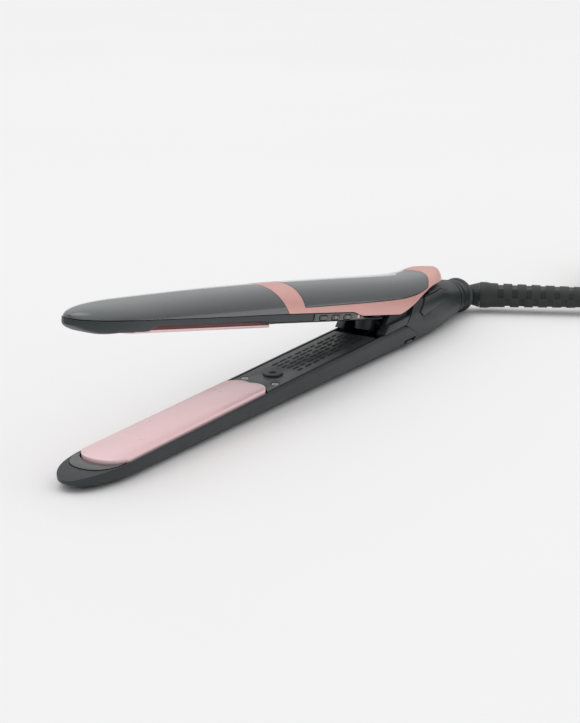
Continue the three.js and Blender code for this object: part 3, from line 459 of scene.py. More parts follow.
def unite(piece, *others):
    return boolean(piece, "UNION", others)


def keep(piece, *others):
    return boolean(piece, "INTERSECT", others)


def round_edges(piece, width=None, segments=2, angle=38):
    """Rounds a piece's sharp edges."""
    only(piece)
    step = piece.modifiers.new("edges", "BEVEL")
    step.width = millimetres(sizes().edge) if width is None else width
    step.segments = segments
    step.limit_method = "ANGLE"
    step.angle_limit = math.radians(angle)
    step.use_clamp_overlap = True
    step.miter_outer = "MITER_ARC"
    bpy.ops.object.modifier_apply(modifier=step.name)
    return piece


def place(piece, matrix, body, slot, look, *nodes, smooth=32):
    """Seats a finished piece in the part's frame, gives it its finish and its body."""
    piece.data.transform(matrix)
    if matrix.determinant() < 0:
        edit(piece, lambda: bpy.ops.mesh.flip_normals())
    only(piece)
    bpy.ops.object.shade_smooth_by_angle(angle=math.radians(smooth))
    piece.data.materials.clear()
    piece.data.materials.append(look)
    if nodes:
        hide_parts(*nodes)
    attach(piece, body)
    return piece


# ---------------------------------------------------------------- finishes
def finish(name, base, roughness, **sockets):
    """New material with a principled shader, and its nodes by name."""
    look = bpy.data.materials.new(name)
    look.use_nodes = True
    shader = look.node_tree.nodes["Principled BSDF"]
    shader.inputs["Base Color"].default_value = (*base, 1)
    shader.inputs["Roughness"].default_value = roughness
    for socket, value in sockets.items():
        shader.inputs[socket.replace("_", " ")].default_value = value
    return look


def node_of(look, kind, **values):
    node = look.node_tree.nodes.new(kind)
    for key, value in values.items():
        setattr(node, key, value)
    return node


def wire(look, source, out, target, into):
    look.node_tree.links.new(source.outputs[out], target.inputs[into])


def noise(look, scale, detail=3.0, rough=0.55, stretch=None):
    """Noise on the object's own coordinates, in features per metre."""
    place_node = node_of(look, "ShaderNodeTexCoord")
    texture = node_of(look, "ShaderNodeTexNoise")
    texture.inputs["Scale"].default_value = scale
    texture.inputs["Detail"].default_value = detail
    texture.inputs["Roughness"].default_value = rough
    if stretch:
        mapping = node_of(look, "ShaderNodeMapping")
        mapping.inputs["Scale"].default_value = stretch
        wire(look, place_node, "Object", mapping, "Vector")
        wire(look, mapping, "Vector", texture, "Vector")
    else:
        wire(look, place_node, "Object", texture, "Vector")
    return texture


def vary_colour(look, texture, dark, light):
    """Base colour that wanders between two tones."""
    ramp = node_of(look, "ShaderNodeValToRGB")
    ramp.color_ramp.elements[0].position = 0.35
    ramp.color_ramp.elements[1].position = 0.65
    ramp.color_ramp.elements[0].color = (*dark, 1)
    ramp.color_ramp.elements[1].color = (*light, 1)
    wire(look, texture, "Fac", ramp, "Fac")
    wire(look, ramp, "Color", look.node_tree.nodes["Principled BSDF"], "Base Color")


def vary_roughness(look, texture, low, high):
    spread = node_of(look, "ShaderNodeMapRange")
    spread.inputs["From Min"].default_value = 0.3
    spread.inputs["From Max"].default_value = 0.7
    spread.inputs["To Min"].default_value = low
    spread.inputs["To Max"].default_value = high
    wire(look, texture, "Fac", spread, "Value")
    wire(look, spread, "Result", look.node_tree.nodes["Principled BSDF"], "Roughness")


def emboss(look, texture, distance, strength=1.0):
    bump = node_of(look, "ShaderNodeBump")
    bump.inputs["Distance"].default_value = distance
    bump.inputs["Strength"].default_value = strength
    wire(look, texture, "Fac", bump, "Height")
    wire(look, bump, "Normal", look.node_tree.nodes["Principled BSDF"], "Normal")


def shade(tone, factor):
    return tuple(min(1, channel * factor) for channel in tone)


def kept(name, make):
    """A material is made once and shared."""
    return bpy.data.materials.get(name) or make(name)


def moulded_charcoal(name="moulded_charcoal"):
    def make(name):
        tone = tuple(colours().charcoal)
        look = finish(name, tone, 0.42, Specular_IOR_Level=0.5)
        vary_colour(look, noise(look, 60, 2), shade(tone, 0.9), shade(tone, 1.12))
        grain = noise(look, 2600, 2, 0.6)
        vary_roughness(look, grain, 0.36, 0.5)
        emboss(look, grain, 0.00003, 0.5)
        return look
    return kept(name, make)


def gunmetal_gloss(name="gunmetal_lacquer"):
    def make(name):
        tone = tuple(colours().gunmetal)
        look = finish(name, tone, 0.24, Metallic=0.65, Coat_Weight=1.0, Coat_Roughness=0.03,
                      Specular_IOR_Level=0.6)
        vary_colour(look, noise(look, 7000, 2, 0.7), shade(tone, 0.86), shade(tone, 1.16))
        vary_roughness(look, noise(look, 160, 3), 0.2, 0.28)
        emboss(look, noise(look, 240, 1), 0.00002, 0.25)
        return look
    return kept(name, make)


def gloss_black(name="gloss_black"):
    def make(name):
        tone = tuple(colours().black)
        look = finish(name, tone, 0.16, Coat_Weight=0.6, Coat_Roughness=0.05)
        vary_colour(look, noise(look, 90, 2), shade(tone, 0.8), shade(tone, 1.25))
        vary_roughness(look, noise(look, 320, 3), 0.12, 0.22)
        emboss(look, noise(look, 400, 1), 0.00002, 0.2)
        return look
    return kept(name, make)


def rose_metallic(name="rose_lacquer"):
    def make(name):
        tone = tuple(colours().rose)
        look = finish(name, tone, 0.38, Metallic=0.35, Coat_Weight=0.1, Coat_Roughness=0.12)
        vary_colour(look, noise(look, 5200, 2, 0.7), shade(tone, 0.92), shade(tone, 1.06))
        vary_roughness(look, noise(look, 500, 3), 0.31, 0.41)
        emboss(look, noise(look, 3800, 1), 0.00001, 0.35)
        return look
    return kept(name, make)


def pink_ceramic(name="pink_ceramic"):
    def make(name):
        tone = tuple(colours().ceramic)
        look = finish(name, tone, 0.3, Metallic=0.12, Coat_Weight=0.5, Coat_Roughness=0.12)
        vary_colour(look, noise(look, 700, 3, 0.6), shade(tone, 0.985), shade(tone, 1.01))
        vary_roughness(look, noise(look, 120, 2), 0.27, 0.33)
        emboss(look, noise(look, 300, 1), 0.000004, 0.1)
        return look
    return kept(name, make)


def soft_rubber(name="soft_rubber"):
    def make(name):
        tone = tuple(colours().rubber)
        look = finish(name, tone, 0.5, Sheen_Weight=0.15, Sheen_Roughness=0.5)
        vary_colour(look, noise(look, 120, 3), shade(tone, 0.8), shade(tone, 1.3))
        grain = noise(look, 1800, 3, 0.6)
        vary_roughness(look, grain, 0.44, 0.6)
        emboss(look, grain, 0.00004, 0.35)
        return look
    return kept(name, make)


def plain_metal(name, tone, roughness, stretch=None):
    def make(name):
        look = finish(name, tone, roughness, Metallic=1.0)
        brushed = noise(look, 900, 4, 0.6, stretch or (0.05, 1, 1))
        vary_colour(look, noise(look, 150, 2), shade(tone, 0.9), shade(tone, 1.05))
        vary_roughness(look, brushed, roughness * 0.8, roughness * 1.25)
        emboss(look, brushed, 0.00002, 0.3)
        return look
    return kept(name, make)


def plain_moulding(name, tone, roughness=0.5):
    def make(name):
        look = finish(name, tone, roughness)
        vary_colour(look, noise(look, 200, 3), shade(tone, 0.88), shade(tone, 1.1))
        grain = noise(look, 2200, 2)
        vary_roughness(look, grain, roughness * 0.85, min(1, roughness * 1.2))
        emboss(look, grain, 0.00003, 0.4)
        return look
    return kept(name, make)


def print_pink(name="print_pink"):
    return plain_moulding(name, (0.72, 0.42, 0.40), 0.5)


def pale_floor(name="pale_floor"):
    def make(name):
        look = finish(name, (0.9, 0.9, 0.9), 0.9, Specular_IOR_Level=0.1)
        vary_colour(look, noise(look, 3, 2), (0.895, 0.895, 0.895), (0.905, 0.905, 0.905))
        return look
    return kept(name, make)


# ---------------------------------------------------------------- shared shapes
def quadratic(a, b, c, steps=10):
    """Points after a on the curve from a towards b to c."""
    points = []
    for i in range(1, steps + 1):
        t = i / steps
        points.append(tuple((1 - t) ** 2 * a[k] + 2 * t * (1 - t) * b[k] + t * t * c[k]
                            for k in (0, 1)))
    return points


def plate_outline(grow=0.0):
    h = millimetres(sizes().plate_half) + grow
    rear_pull = PLATE_REAR + 1.6 * PLATE_BOW_REAR + grow
    rear = PLATE_REAR + PLATE_BOW_REAR + grow
    nose = PLATE_FRONT - PLATE_BOW_FRONT - grow
    points = [(PLATE_REAR, -h)]
    points += quadratic(points[-1], (rear_pull, -h * 0.62), (rear, 0))
    points += quadratic(points[-1], (rear_pull, h * 0.62), (PLATE_REAR, h))
    points.append((PLATE_FRONT, h))
    points += quadratic(points[-1], (nose, h * 0.78), (nose, 0))
    points += quadratic(points[-1], (nose, -h * 0.78), (PLATE_FRONT, -h))
    return points


def crescent_outline(grow=0.0):
    inner = PLATE_FRONT - PLATE_BOW_FRONT - 0.9 + grow
    outer = PLATE_FRONT - PLATE_BOW_FRONT - 7.6 - grow
    h = 10.9 + grow
    back = PLATE_FRONT - 1.4 + grow
    points = [(back, -h)]
    points += quadratic(points[-1], (inner, -h * 0.76), (inner, 0))
    points += quadratic(points[-1], (inner, h * 0.76), (back, h))
    points.append((back - 3.4, h + 0.2))
    points += quadratic(points[-1], (outer, h * 0.86), (outer, 0))
    points += quadratic(points[-1], (outer, -h * 0.86), (back - 3.4, -h - 0.2))
    return points


def cover_outline(half, front, rear):
    points = [(front, -half), (rear, -half), (rear, half), (front, half)]
    points += quadratic(points[-1], (front + 5.4, half * 0.62), (front + 5.4, 0))
    points += quadratic(points[-1], (front + 5.4, -half * 0.62), (front, -half))[:-1]
    return points


def above(curve, x0, x1, steps=60, lift=0.0):
    """Everything above a curve in side view."""
    points = [(x0 + (x1 - x0) * i / steps, curve(x0 + (x1 - x0) * i / steps) + lift)
              for i in range(steps + 1)]
    return outline_body("above", points + [(x1, 60), (x0, 60)], -30, 30, "Y")


def above_seam(lift=0.0):
    return above(seam, TIP_X - 7, TAIL_X + 5, 150, lift)


# ---------------------------------------------------------------- lower arm
SEAM_LOW = [(0.7, RIM_Z), (10.6, -7.4), (22, -16)]


def shell_region(gap=0.15):
    (ax, az), (bx, bz), (cx, cz) = SEAM_LOW
    return outline_body("shell_region", [
        (-260, 8), (-60, 8), (ax - gap, 8), (ax - gap, az), (bx - gap, bz), (cx - gap, cz),
        (-260, -30)], -30, 30, "Y")


def cuff_region(gap=0.15):
    (ax, az), (bx, bz), (cx, cz) = SEAM_LOW
    return outline_body("cuff_region", [
        (ax + gap, az), (13.5 + gap, 8.0), (16 + gap, 20), (90, 20), (90, -30),
        (cx + 19 + gap, -30), (cx + gap, cz), (bx + gap, bz)], -30, 30, "Y")


def lower_shell():
    wall = millimetres(sizes().wall)
    body = loft("lower_shell_skin", stations(TIP_X, 24, 60, 33), lower_section, 96)
    cavity = loft("cavity", stations(-199, 30, 12),
                  lambda x: lower_section(x, wall, n_up=12, z_max=6, up=10), 40)
    cut(body, cavity, outline_body("well", plate_outline(0.7), -4.6, 4),
        outline_body("pocket", crescent_outline(GAP), -3.3, 4),
        outline_body("seat", cover_outline(11.5, PLATE_REAR - 1, COVER_REAR + 0.4), -3.6, 4))
    keep(body, shell_region())
    cut(body, block("slot", 1.2, 11.4, -16, -8, -11.3, -9.2))
    return round_edges(body)


def inner_cover():
    body = outline_body("lower_inner_cover_skin",
                        cover_outline(10.6, PLATE_REAR + 1.2, COVER_REAR), -3.0, RIM_Z)
    cut(body, outline_body("plate", plate_outline(0.8), -9, 4),
        rod("recess", (-90, 0, -2.2), (-90, 0, 0), 4.4))
    for y in (-7.6, 7.6):
        cut(body, rod("hole", (-100, y, -2.3), (-100, y, 0), 1.9, around=32))
    return round_edges(body, 0.2)


def cover_marks():
    """Fine raised dashes moulded in rows on the inner cover."""
    marks = []
    for row in range(6):
        for k in range(9):
            x = -80 + k * 6.1
            y = -6.5 + row * 2.6
            long = 4.4 - 1.4 * ((row + 2 * k) % 3 == 0)
            mark = outline_body("mark", [
                (x, y + 0.3), (x + 0.4, y), (x + long, y), (x + long + 0.3, y + 0.5),
                (x + long - 0.1, y + 0.9), (x + 0.2, y + 0.9)], RIM_Z - 0.2, RIM_Z + 0.2)
            marks.append(mark)
    clear_selection()
    for mark in marks:
        mark.select_set(True)
    bpy.context.view_layer.objects.active = marks[0]
    bpy.ops.object.join()
    return named("cover_marks")


def tip_insert(name, low, high, limit):
    body = outline_body(name, crescent_outline(0), low, high)
    keep(body, limit)
    return round_edges(body, 0.35, 3)


def hinge_fork():
    wall = [(-18.2, -10.4), (-18.2, -1.2), (-9.4, 6.6), (9.2, 6.9), (6.4, -1.0), (7.2, -10.4)]
    shoulder = outline_body("shoulder", [(-18.4, -1.2), (-14.8, 2.3), (4.2, 2.3), (0.75, -1.2)],
                            -30, 30, "Y")
    keep(shoulder, loft("limit", [-30, -10, 10],
                        lambda x: lower_section(x, 0, up=12, n_up=14, z_max=5), 64))
    cut(shoulder, block("middle", -40, 40, -8.9, 8.9, -30, 30))
    body = outline_body("hinge_fork_skin", wall, 8.9, 10.9, "Y")
    unite(body, outline_body("wall", wall, -10.9, -8.9, "Y"), shoulder,
          block("web", -18.2, 7.2, -10.8, 10.8, -10.4, -8.9))
    room = millimetres(sizes().wall) + GAP
    under = block("under", -60, 60, -40, 40, -40, -1.35)
    cut(under, loft("inside", [-70, -30, 10, 70],
                    lambda x: lower_section(x, room, n_up=12, up=20, z_max=30), 64))
    cut(body, under, block("slider_room", 0.4, 20, -12, -7.2, -12, -8.6),
        rod("bore", (0, -11.2, PIN_Z), (0, 11.2, PIN_Z), 1.9))
    return round_edges(body, 0.25)


PANEL_SIDE = [(13.6, 1.8), (16.4, -0.6), (41.5, 1.6), (50.5, 1.2), (37.5, 6.6), (20.5, 6.9)]


def grown(points, amount):
    middle = [sum(p[k] for p in points) / len(points) for k in (0, 1)]
    result = []
    for x, z in points:
        d = math.hypot(x - middle[0], z - middle[1])
        result.append((x + (x - middle[0]) / d * amount, z + (z - middle[1]) / d * amount))
    return result


def rear_cuff():
    body = loft("rear_cuff_skin", stations(-6, NECK_X, 60), cuff_section, 96)
    keep(body, cuff_region())
    well = outline_body("well", [(-20, -11.3), (19, -11.3), (26, 2), (30, 30), (-20, 30)],
                        -11.3, 11.3, "Y")
    keep(well, loft("limit", stations(-10, 40, 8),
                    lambda x: cuff_section(x, 2.1, up=40, n_up=14), 48))
    clear_selection()
    bpy.ops.mesh.primitive_uv_sphere_add(segments=48, ring_count=24, radius=BALL_R + 0.5,
                                         location=(BALL_X, 0, BALL_Z))
    bpy.ops.object.transform_apply(location=True, rotation=True, scale=True)
    socket = named("socket")
    pocket = outline_body("pocket", grown(PANEL_SIDE, 0.45), -30, 30, "Y")
    cut(pocket, loft("pocket_floor", stations(0, 60, 20), lambda x: cuff_section(x, 1.1), 64))
    cut(body, well, rod("bore", (20, 0, -6.6), (62, 0, BALL_Z), 3.6),
        socket, rod("mouth", (64, 0, BALL_Z), (BALL_X, 0, BALL_Z), 4.6),
        block("ear_room", -12, 9.6, -11.3, 11.3, -12, 30), pocket)
    for groove in (62, 66.5):
        ring = rod("ring", (groove, 0, -6.2), (groove + 1.0, 0, -6.2), 14)
        cut(ring, loft("ring_floor", [groove - 1, groove + 3],
                       lambda x: cuff_section(x, 0.6), 96))
        cut(body, ring)
    return round_edges(body, 0.25)


def side_panel(name, side):
    body = loft(name, stations(4, 60, 30), lambda x: cuff_section(x, -0.45), 96)
    cut(body, loft("inside", stations(3, 61, 30), lambda x: cuff_section(x, 0.75), 96))
    keep(body, outline_body("outline", PANEL_SIDE, -30, 30, "Y"),
         block("half", 0, 80, min(side * 4, side * 30), max(side * 4, side * 30), -30, 30))
    return round_edges(body, 0.3, 3)


def neck_collar():
    body = turned("neck_collar_skin", [
        (6.9, 0), (8.0, 0), (8.45, 0.25), (8.6, 0.7), (8.6, 1.8), (8.4, 2.3), (8.0, 2.6),
        (6.9, 2.6)], 72)
    body.data.transform(Matrix.Translation((NECK_X + GAP, 0, BALL_Z + 0.6))
                        @ Matrix.Rotation(math.pi / 2, 4, "Y"))
    return body


def bumper():
    body = turned("rest_bumper_skin", [
        (0.001, -2.0), (4.0, -2.0), (4.0, -1.05), (3.8, -0.8), (3.4, -0.72), (1.9, -0.74),
        (1.6, -0.85), (1.35, -1.3), (0.001, -1.3)], 48)
    body.data.transform(Matrix.Translation((-90, 0, 0)))
    return body


def lock_slider():
    body = block("lock_slider_skin", 2.0, 6.6, -12.9, -8.7, -10.9, -9.6)
    round_edges(body, 0.35, 3)
    plate = block("plate", 0.9, 7.7, -8.9, -7.6, -10.5, -9.0)
    unite(body, plate)
    for x in (3.0, 4.2, 5.4):
        cut(body, block("rib", x, x + 0.35, -14, -12.55, -12, -8))
    return body


def plate(name, low, top):
    """Heating plate with bowed ends; its working face's long edges are chamfered."""
    body = outline_body(name, plate_outline(0), low, low + PLATE_THICK)
    only(body)
    face = low + PLATE_THICK if top else low
    h = millimetres(sizes().plate_half)
    edit(body, lambda: bpy.ops.mesh.select_all(action="DESELECT"))
    for edge in body.data.edges:
        a, b = (body.data.vertices[i].co for i in edge.vertices)
        edge.select = (abs(a.z - face) < 1e-3 and abs(b.z - face) < 1e-3
                       and abs(abs(a.y) - h) < 1e-3 and abs(abs(b.y) - h) < 1e-3)
    only(body)
    bpy.ops.object.mode_set(mode="EDIT")
    bpy.ops.mesh.select_mode(type="EDGE")
    bpy.ops.mesh.bevel(offset=0.75, segments=1, affect="EDGES")
    bpy.ops.object.mode_set(mode="OBJECT")
    return round_edges(body, 0.12, 2, 30)


def upper_plate():
    """The upper plate's thin ceramic face, and the carrier it sits on, which is given a dark red:
    a painted reflection of the pink plate and painted shade in the gap along the plate's edge.
    """
    face = plate("upper_plate_skin", 0.1, False)
    keep(face, block("face", -260, -60, -20, 20, -1, 1.2))
    # This carrier is coloured dark red later, as painted reflection of the plate and painted shade
    # in the gap along its edge.
    carrier = outline_body("plate_carrier", plate_outline(-0.3), 1.2, 0.1 + PLATE_THICK)
    return face, round_edges(carrier, 0.1)


class FLATIRON_OT_lower_shell(bpy.types.Operator):
    """Lower arm's shell, tip insert, inner cover and its marks"""
    bl_idname = "flatiron.lower_shell"
    bl_label = "Lower shell"

    def execute(self, context):
        charcoal = moulded_charcoal()
        place(lower_shell(), lower(), "lower_arm", "charcoal_plastic", charcoal, "lower_shell")
        place(inner_cover(), lower(), "lower_arm", "charcoal_plastic",
              plain_moulding("cover_charcoal", (0.06, 0.065, 0.068), 0.38), "lower_inner_cover")
        place(cover_marks(), lower(), "lower_arm", "charcoal_plastic",
              plain_moulding("mark_charcoal", (0.02, 0.021, 0.022), 0.6))
        limit = loft("limit", stations(TIP_X, -190, 12, 33), lambda x: lower_section(
            x, 0.4, z_max=lower_top(x) + 0.25), 96)
        place(tip_insert("lower_tip_insert_skin", -3.0, RIM_Z + 0.2, limit), lower(), "lower_arm",
              "black_gloss", gloss_black(), "lower_tip_insert")
        place(bumper(), lower(), "lower_arm", "black_rubber", soft_rubber(), "rest_bumper")
        return {"FINISHED"}


class FLATIRON_OT_rear_cuff(bpy.types.Operator):
    """Hinge fork, rear cuff, its side panels, the neck collar and the lock slider"""
    bl_idname = "flatiron.rear_cuff"
    bl_label = "Hinge and rear cuff"

    def execute(self, context):
        charcoal = moulded_charcoal()
        place(hinge_fork(), lower(), "lower_arm", "charcoal_plastic", charcoal, "hinge_fork")
        place(rear_cuff(), lower(), "lower_arm", "charcoal_plastic", charcoal, "rear_cuff")
        panel_look = plain_moulding("panel_charcoal", tuple(colours().charcoal), 0.34)
        place(side_panel("cuff_panel_near_skin", -1), lower(), "lower_arm", "black_gloss",
              panel_look, "cuff_panel_near")
        place(side_panel("cuff_panel_far_skin", 1), lower(), "lower_arm", "black_gloss",
              panel_look, "cuff_panel_far")
        place(neck_collar(), lower(), "lower_arm", "black_rubber",
              plain_moulding("collar_grey", (0.05, 0.055, 0.058), 0.4), "neck_collar")
        place(lock_slider(), lower(), "lock", "black_gloss", gloss_black(), "lock_slider")
        return {"FINISHED"}


# ---------------------------------------------------------------- upper arm
def joint_line(shift):
    """The slanted joint between the front cover and the trim ring, from below to above."""
    return [(JOINT_X + shift - JOINT_LEAN * (z - 5.7), z) for z in (-5, 24)]


def front_cover():
    body = loft("upper_front_cover_skin", stations(TIP_X, JOINT_X + 5, 60, 33), upper_section, 128)
    inside = loft("inside", stations(-220, JOINT_X + 9, 24, 20), lambda x: upper_section(
        x, 1.6, b=max(upper_half(x) - 1.6, 1), z_min=0, down=4, n_down=9), 96)
    keep(body, above_seam())
    cut(body, inside)
    keep(body, outline_body("length", [(-240, -5), *joint_line(-0.2), (-240, 24)], -30, 30, "Y"))
    return round_edges(body, 0.3, 3)


def handle_skin(name, inset, thickness):
    body = loft(name, stations(JOINT_X - 14, TAIL_X - inset, 70, 0, 28),
                lambda x: upper_section(x, inset), 128)
    cut(body, loft("inside", stations(JOINT_X - 18, TAIL_X - inset - thickness, 40, 0, 26),
                   lambda x: upper_section(x, inset + thickness, z_min=0, down=4, n_down=9), 96))
    return body


def panel_region(grow=0.0):
    side = []
    for i in range(61):
        x = -88 + (34 + 88) * i / 60
        side.append((x - grow if i == 0 else x, panel_edge(x) - grow))
    side += [(36, 40), (-92 - grow, 40), (-92 - grow, 18)]
    end = PANEL_END + grow
    tongue = [(-100, -20), (PANEL_ROUND, -20)]
    for i in range(49):
        a = -math.pi / 2 + i / 48 * math.pi
        x = PANEL_ROUND + (end - PANEL_ROUND) * abs(math.cos(a)) ** 0.87
        tongue.append((x, (14 + grow) * math.copysign(abs(math.sin(a)) ** 0.87, a)))
    tongue += [(PANEL_ROUND, 20), (-100, 20)]
    body = outline_body("panel_side", side, -30, 30, "Y")
    return keep(body, outline_body("tongue", tongue, -5, 45))


def trim_ring():
    body = handle_skin("trim_ring_skin", 0, 2.0)
    low, high = joint_line(0.2)
    keep(body, above_seam(), outline_body(
        "front", [low, (90, -5), (90, 60), (high[0], 60), high], -30, 30, "Y"))
    cut(body, panel_region(0.25))
    return round_edges(body, 0.3, 3)


def handle_panel():
    body = handle_skin("handle_panel_skin", 0, 1.8)
    keep(body, panel_region())
    return round_edges(body, 0.35, 3)


def tail_liner():
    body = loft("tail_liner_skin", stations(12, TAIL_X - 3.4, 24, 0, 14),
                lambda x: upper_section(x, 2.35, z_min=4.2), 72)
    keep(body, above(lambda x: seam(x) + 0.9, 12, TAIL_X - 6, 24))
    return round_edges(body, 0.25)


def upper_housing():
    body = loft("upper_housing_skin", stations(TIP_X + 0.6, -22, 60, 32.4), housing_section, 96)
    cut(body, above_seam(-GAP))
    cavity = loft("cavity", stations(-221, -25, 12, 18), lambda x: housing_section(
        x, 1.7, 1.6, up=12, n_up=12), 48)
    cut(body, cavity, outline_body("well", plate_outline(0.7), -2, 8),
        outline_body("pocket", crescent_outline(GAP), -2, 2.5),
        block("seat", -81.5, -39.4, -20, -10.9, 1.75, 12))

    def lug(y0, y1):
        barrel = rod("lug", (0, y0, PIN_Z), (0, y1, PIN_Z), 5.2)
        web = outline_body("web", [(-4.9, PIN_Z), (4.9, PIN_Z), (4.6, 3.4), (-6.5, 3.4)],
                           y0, y1, "Y")
        return unite(barrel, web)

    unite(body, block("tongue", -30, 4.0, -7.9, 7.9, 1.6, 4.6), lug(-7.7, -2.9), lug(2.9, 7.7),
          rod("boss", (-14, 0, -4.4), (-14, 0, 3.2), 4.7))
    room = block("spring_room", -9.2, 6, -2.9, 2.9, -9, 1.9)
    keep(room, rod("swing", (0, -2.9, PIN_Z), (0, 2.9, PIN_Z), 6.4))
    cut(body, rod("bore", (0, -12, PIN_Z), (0, 12, PIN_Z), 1.9), room,
        rod("boss_bore", (-14, 0, -6), (-14, 0, -2.8), 2.2))
    return round_edges(body, 0.25)


def slot_outline(x, half, r, z=3.7):
    points = []
    for side in (1, -1):
        middle = x + side * (half - r)
        start = -math.pi / 2 if side > 0 else math.pi / 2
        for i in range(13):
            a = start + i / 12 * math.pi
            points.append((middle + r * math.cos(a), z + r * math.sin(a)))
    return points


def bar(name, x, half, r, y0, y1, z=3.7):
    return outline_body(name, slot_outline(x, half, r, z), y0, y1, "Y")


def button_panel():
    body = loft("button_panel_skin", stations(-90, -30, 24), lambda x: housing_section(
        x, -0.25, down=3.2, z_min=2.0), 96)
    cut(body, above_seam(-GAP - 0.05))
    keep(body, block("length", -81.2, -39.7, -20, -11.2, 0, 12))
    for x in BUTTONS.values():
        cut(body, bar("opening", x, 3.4, 1.25, -20, -5))
    cut(body, bar("opening", LENS_X, 1.2, 1.2, -20, -5))
    return round_edges(body, 0.2)


def button(name, x):
    """Button with rounded edges."""
    return round_edges(bar(f"button_{name}_skin", x, 3.1, 0.95, -13.5, -11.6), 0.3, 3)


def button_sign(name, x):
    """Generic printed sign, raised a hair above its button."""
    low, high = -13.56, -13.4
    if name == "power":
        ring = rod("button_sign_power", (x, low, 3.7), (x, high, 3.7), 0.55, around=32)
        cut(ring, rod("middle", (x, low - 1, 3.7), (x, high + 1, 3.7), 0.38, around=32),
            block("break", x - 0.16, x + 0.16, low - 1, high + 1, 3.7, 5))
        return unite(ring, block("stroke", x - 0.07, x + 0.07, low, high, 3.75, 4.35))
    sign = block(f"button_sign_{name}", x - 0.55, x + 0.55, low, high, 3.62, 3.78)
    if name == "plus":
        unite(sign, block("stroke", x - 0.08, x + 0.08, low, high, 3.15, 4.25))
    return sign


class FLATIRON_OT_upper_covers(bpy.types.Operator):
    """Gloss covers of the upper arm, with the trim ring round the handle panel"""
    bl_idname = "flatiron.upper_covers"
    bl_label = "Upper covers and trim"

    def execute(self, context):
        gunmetal = gunmetal_gloss()
        place(front_cover(), upper(), "upper_arm", "gunmetal_gloss", gunmetal,
              "upper_front_cover")
        place(trim_ring(), upper(), "upper_arm", "rose_metallic", rose_metallic(), "trim_ring")
        place(handle_panel(), upper(), "upper_arm", "gunmetal_gloss", gunmetal, "handle_panel")
        return {"FINISHED"}


class FLATIRON_OT_upper_housing(bpy.types.Operator):
    """Inner housing of the upper arm, its tip insert and the liner under its tail"""
    bl_idname = "flatiron.upper_housing"
    bl_label = "Upper housing"

    def execute(self, context):
        charcoal = moulded_charcoal()
        place(upper_housing(), upper(), "upper_arm", "charcoal_plastic", charcoal,
              "upper_housing")
        place(tail_liner(), upper(), "upper_arm", "charcoal_plastic", charcoal, "tail_liner")
        limit = loft("limit", stations(TIP_X + 1, -190, 12, 32), lambda x: housing_section(
            x, 0.5, 0, z_max=9), 96)
        place(tip_insert("upper_tip_insert_skin", 0.55, 2.2, limit), upper(), "upper_arm",
              "black_gloss", gloss_black(), "upper_tip_insert")
        return {"FINISHED"}


class FLATIRON_OT_buttons(bpy.types.Operator):
    """Button panel, its three buttons with their signs, and the status lens"""
    bl_idname = "flatiron.buttons"
    bl_label = "Buttons"

    def execute(self, context):
        black = gloss_black()
        place(button_panel(), upper(), "upper_arm", "black_gloss", black, "button_panel")
        for name, x in BUTTONS.items():
            body = f"{name}_button"
            place(button(name, x), upper(), body, "black_gloss", black, f"button_{name}")
            place(button_sign(name, x), upper(), body, "lens", print_pink())
        lens = round_edges(bar("status_lens_skin", LENS_X, 0.901, 0.9, -13.4, -11.6), 0.25, 3)
        place(lens, upper(), "upper_arm", "lens", print_pink(), "status_lens")
        return {"FINISHED"}


class FLATIRON_OT_plates(bpy.types.Operator):
    """Floating ceramic plates of both arms"""
    bl_idname = "flatiron.plates"
    bl_label = "Plates"

    def execute(self, context):
        look = pink_ceramic()
        place(plate("lower_plate_skin", -0.1 - PLATE_THICK, True), lower(), "lower_plate_float",
              "ceramic_pink", look, "lower_plate")
        face, carrier = upper_plate()
        place(face, upper(), "upper_plate_float", "ceramic_pink", look, "upper_plate")
        # The carrier's dark red is painted reflection of the pink plate and painted shade in the
        # gap along its edge, not the carrier's own colour.
        place(carrier, upper(), "upper_plate_float", "ceramic_pink",
              plain_moulding("carrier_red", (0.16, 0.02, 0.02), 0.45), "upper_plate")
        return {"FINISHED"}


# ---------------------------------------------------------------- cord
def relief():
    """Tapered sleeve with slots cut in from above and, half a pitch on, from below."""
    length = RELIEF_LENGTH
    body = turned("strain_relief_skin", [
        (3.3, 0), (6.0, 0), (6.3, 0.2), (6.4, 0.6), (6.4, 3.6), (6.2, 4.5), (6.0, 5.4),
        (5.93, 8), (5.0, length - 0.8), (4.85, length - 0.25), (4.6, length), (3.3, length)], 64)
    pitch = 6.9
    wide = 2.6
    for i in range(7):
        for shift, side in ((0, 1), (pitch / 2, -1)):
            start = 9.0 + i * pitch + shift
            if start + wide > length - 2:
                continue
            cut(body, block("slot", *sorted((side * 4.3, side * 9.3)), -8, 8,
                            start, start + wide))
            for flank in (-1, 1):
                cut(body, block("flank", *sorted((side * 0.1, side * 7.1)),
                                *sorted((flank * 4.3, flank * 9.3)), start, start + wide))
    round_edges(body, 0.3, 2)
    # The sleeve was turned about Z with its slots facing x; it lies along x with them facing up.
    body.data.transform(Matrix(((0, 0, 1, RELIEF_START), (0, 1, 0, 0), (1, 0, 0, 0),
                                (0, 0, 0, 1))))
    edit(body, outward)
    return body


def swivel():
    clear_selection()
    bpy.ops.mesh.primitive_uv_sphere_add(segments=56, ring_count=28, radius=BALL_R)
    body = named("swivel_ball_skin")
    unite(body, rod("stem", (3, 0, 0), (RELIEF_START - 0.03, 0, 0), 4.4, 6.1),
          rod("spigot", (7, 0, 0), (RELIEF_START + 2, 0, 0), 2.95))
    return round_edges(body, 0.3, 3)


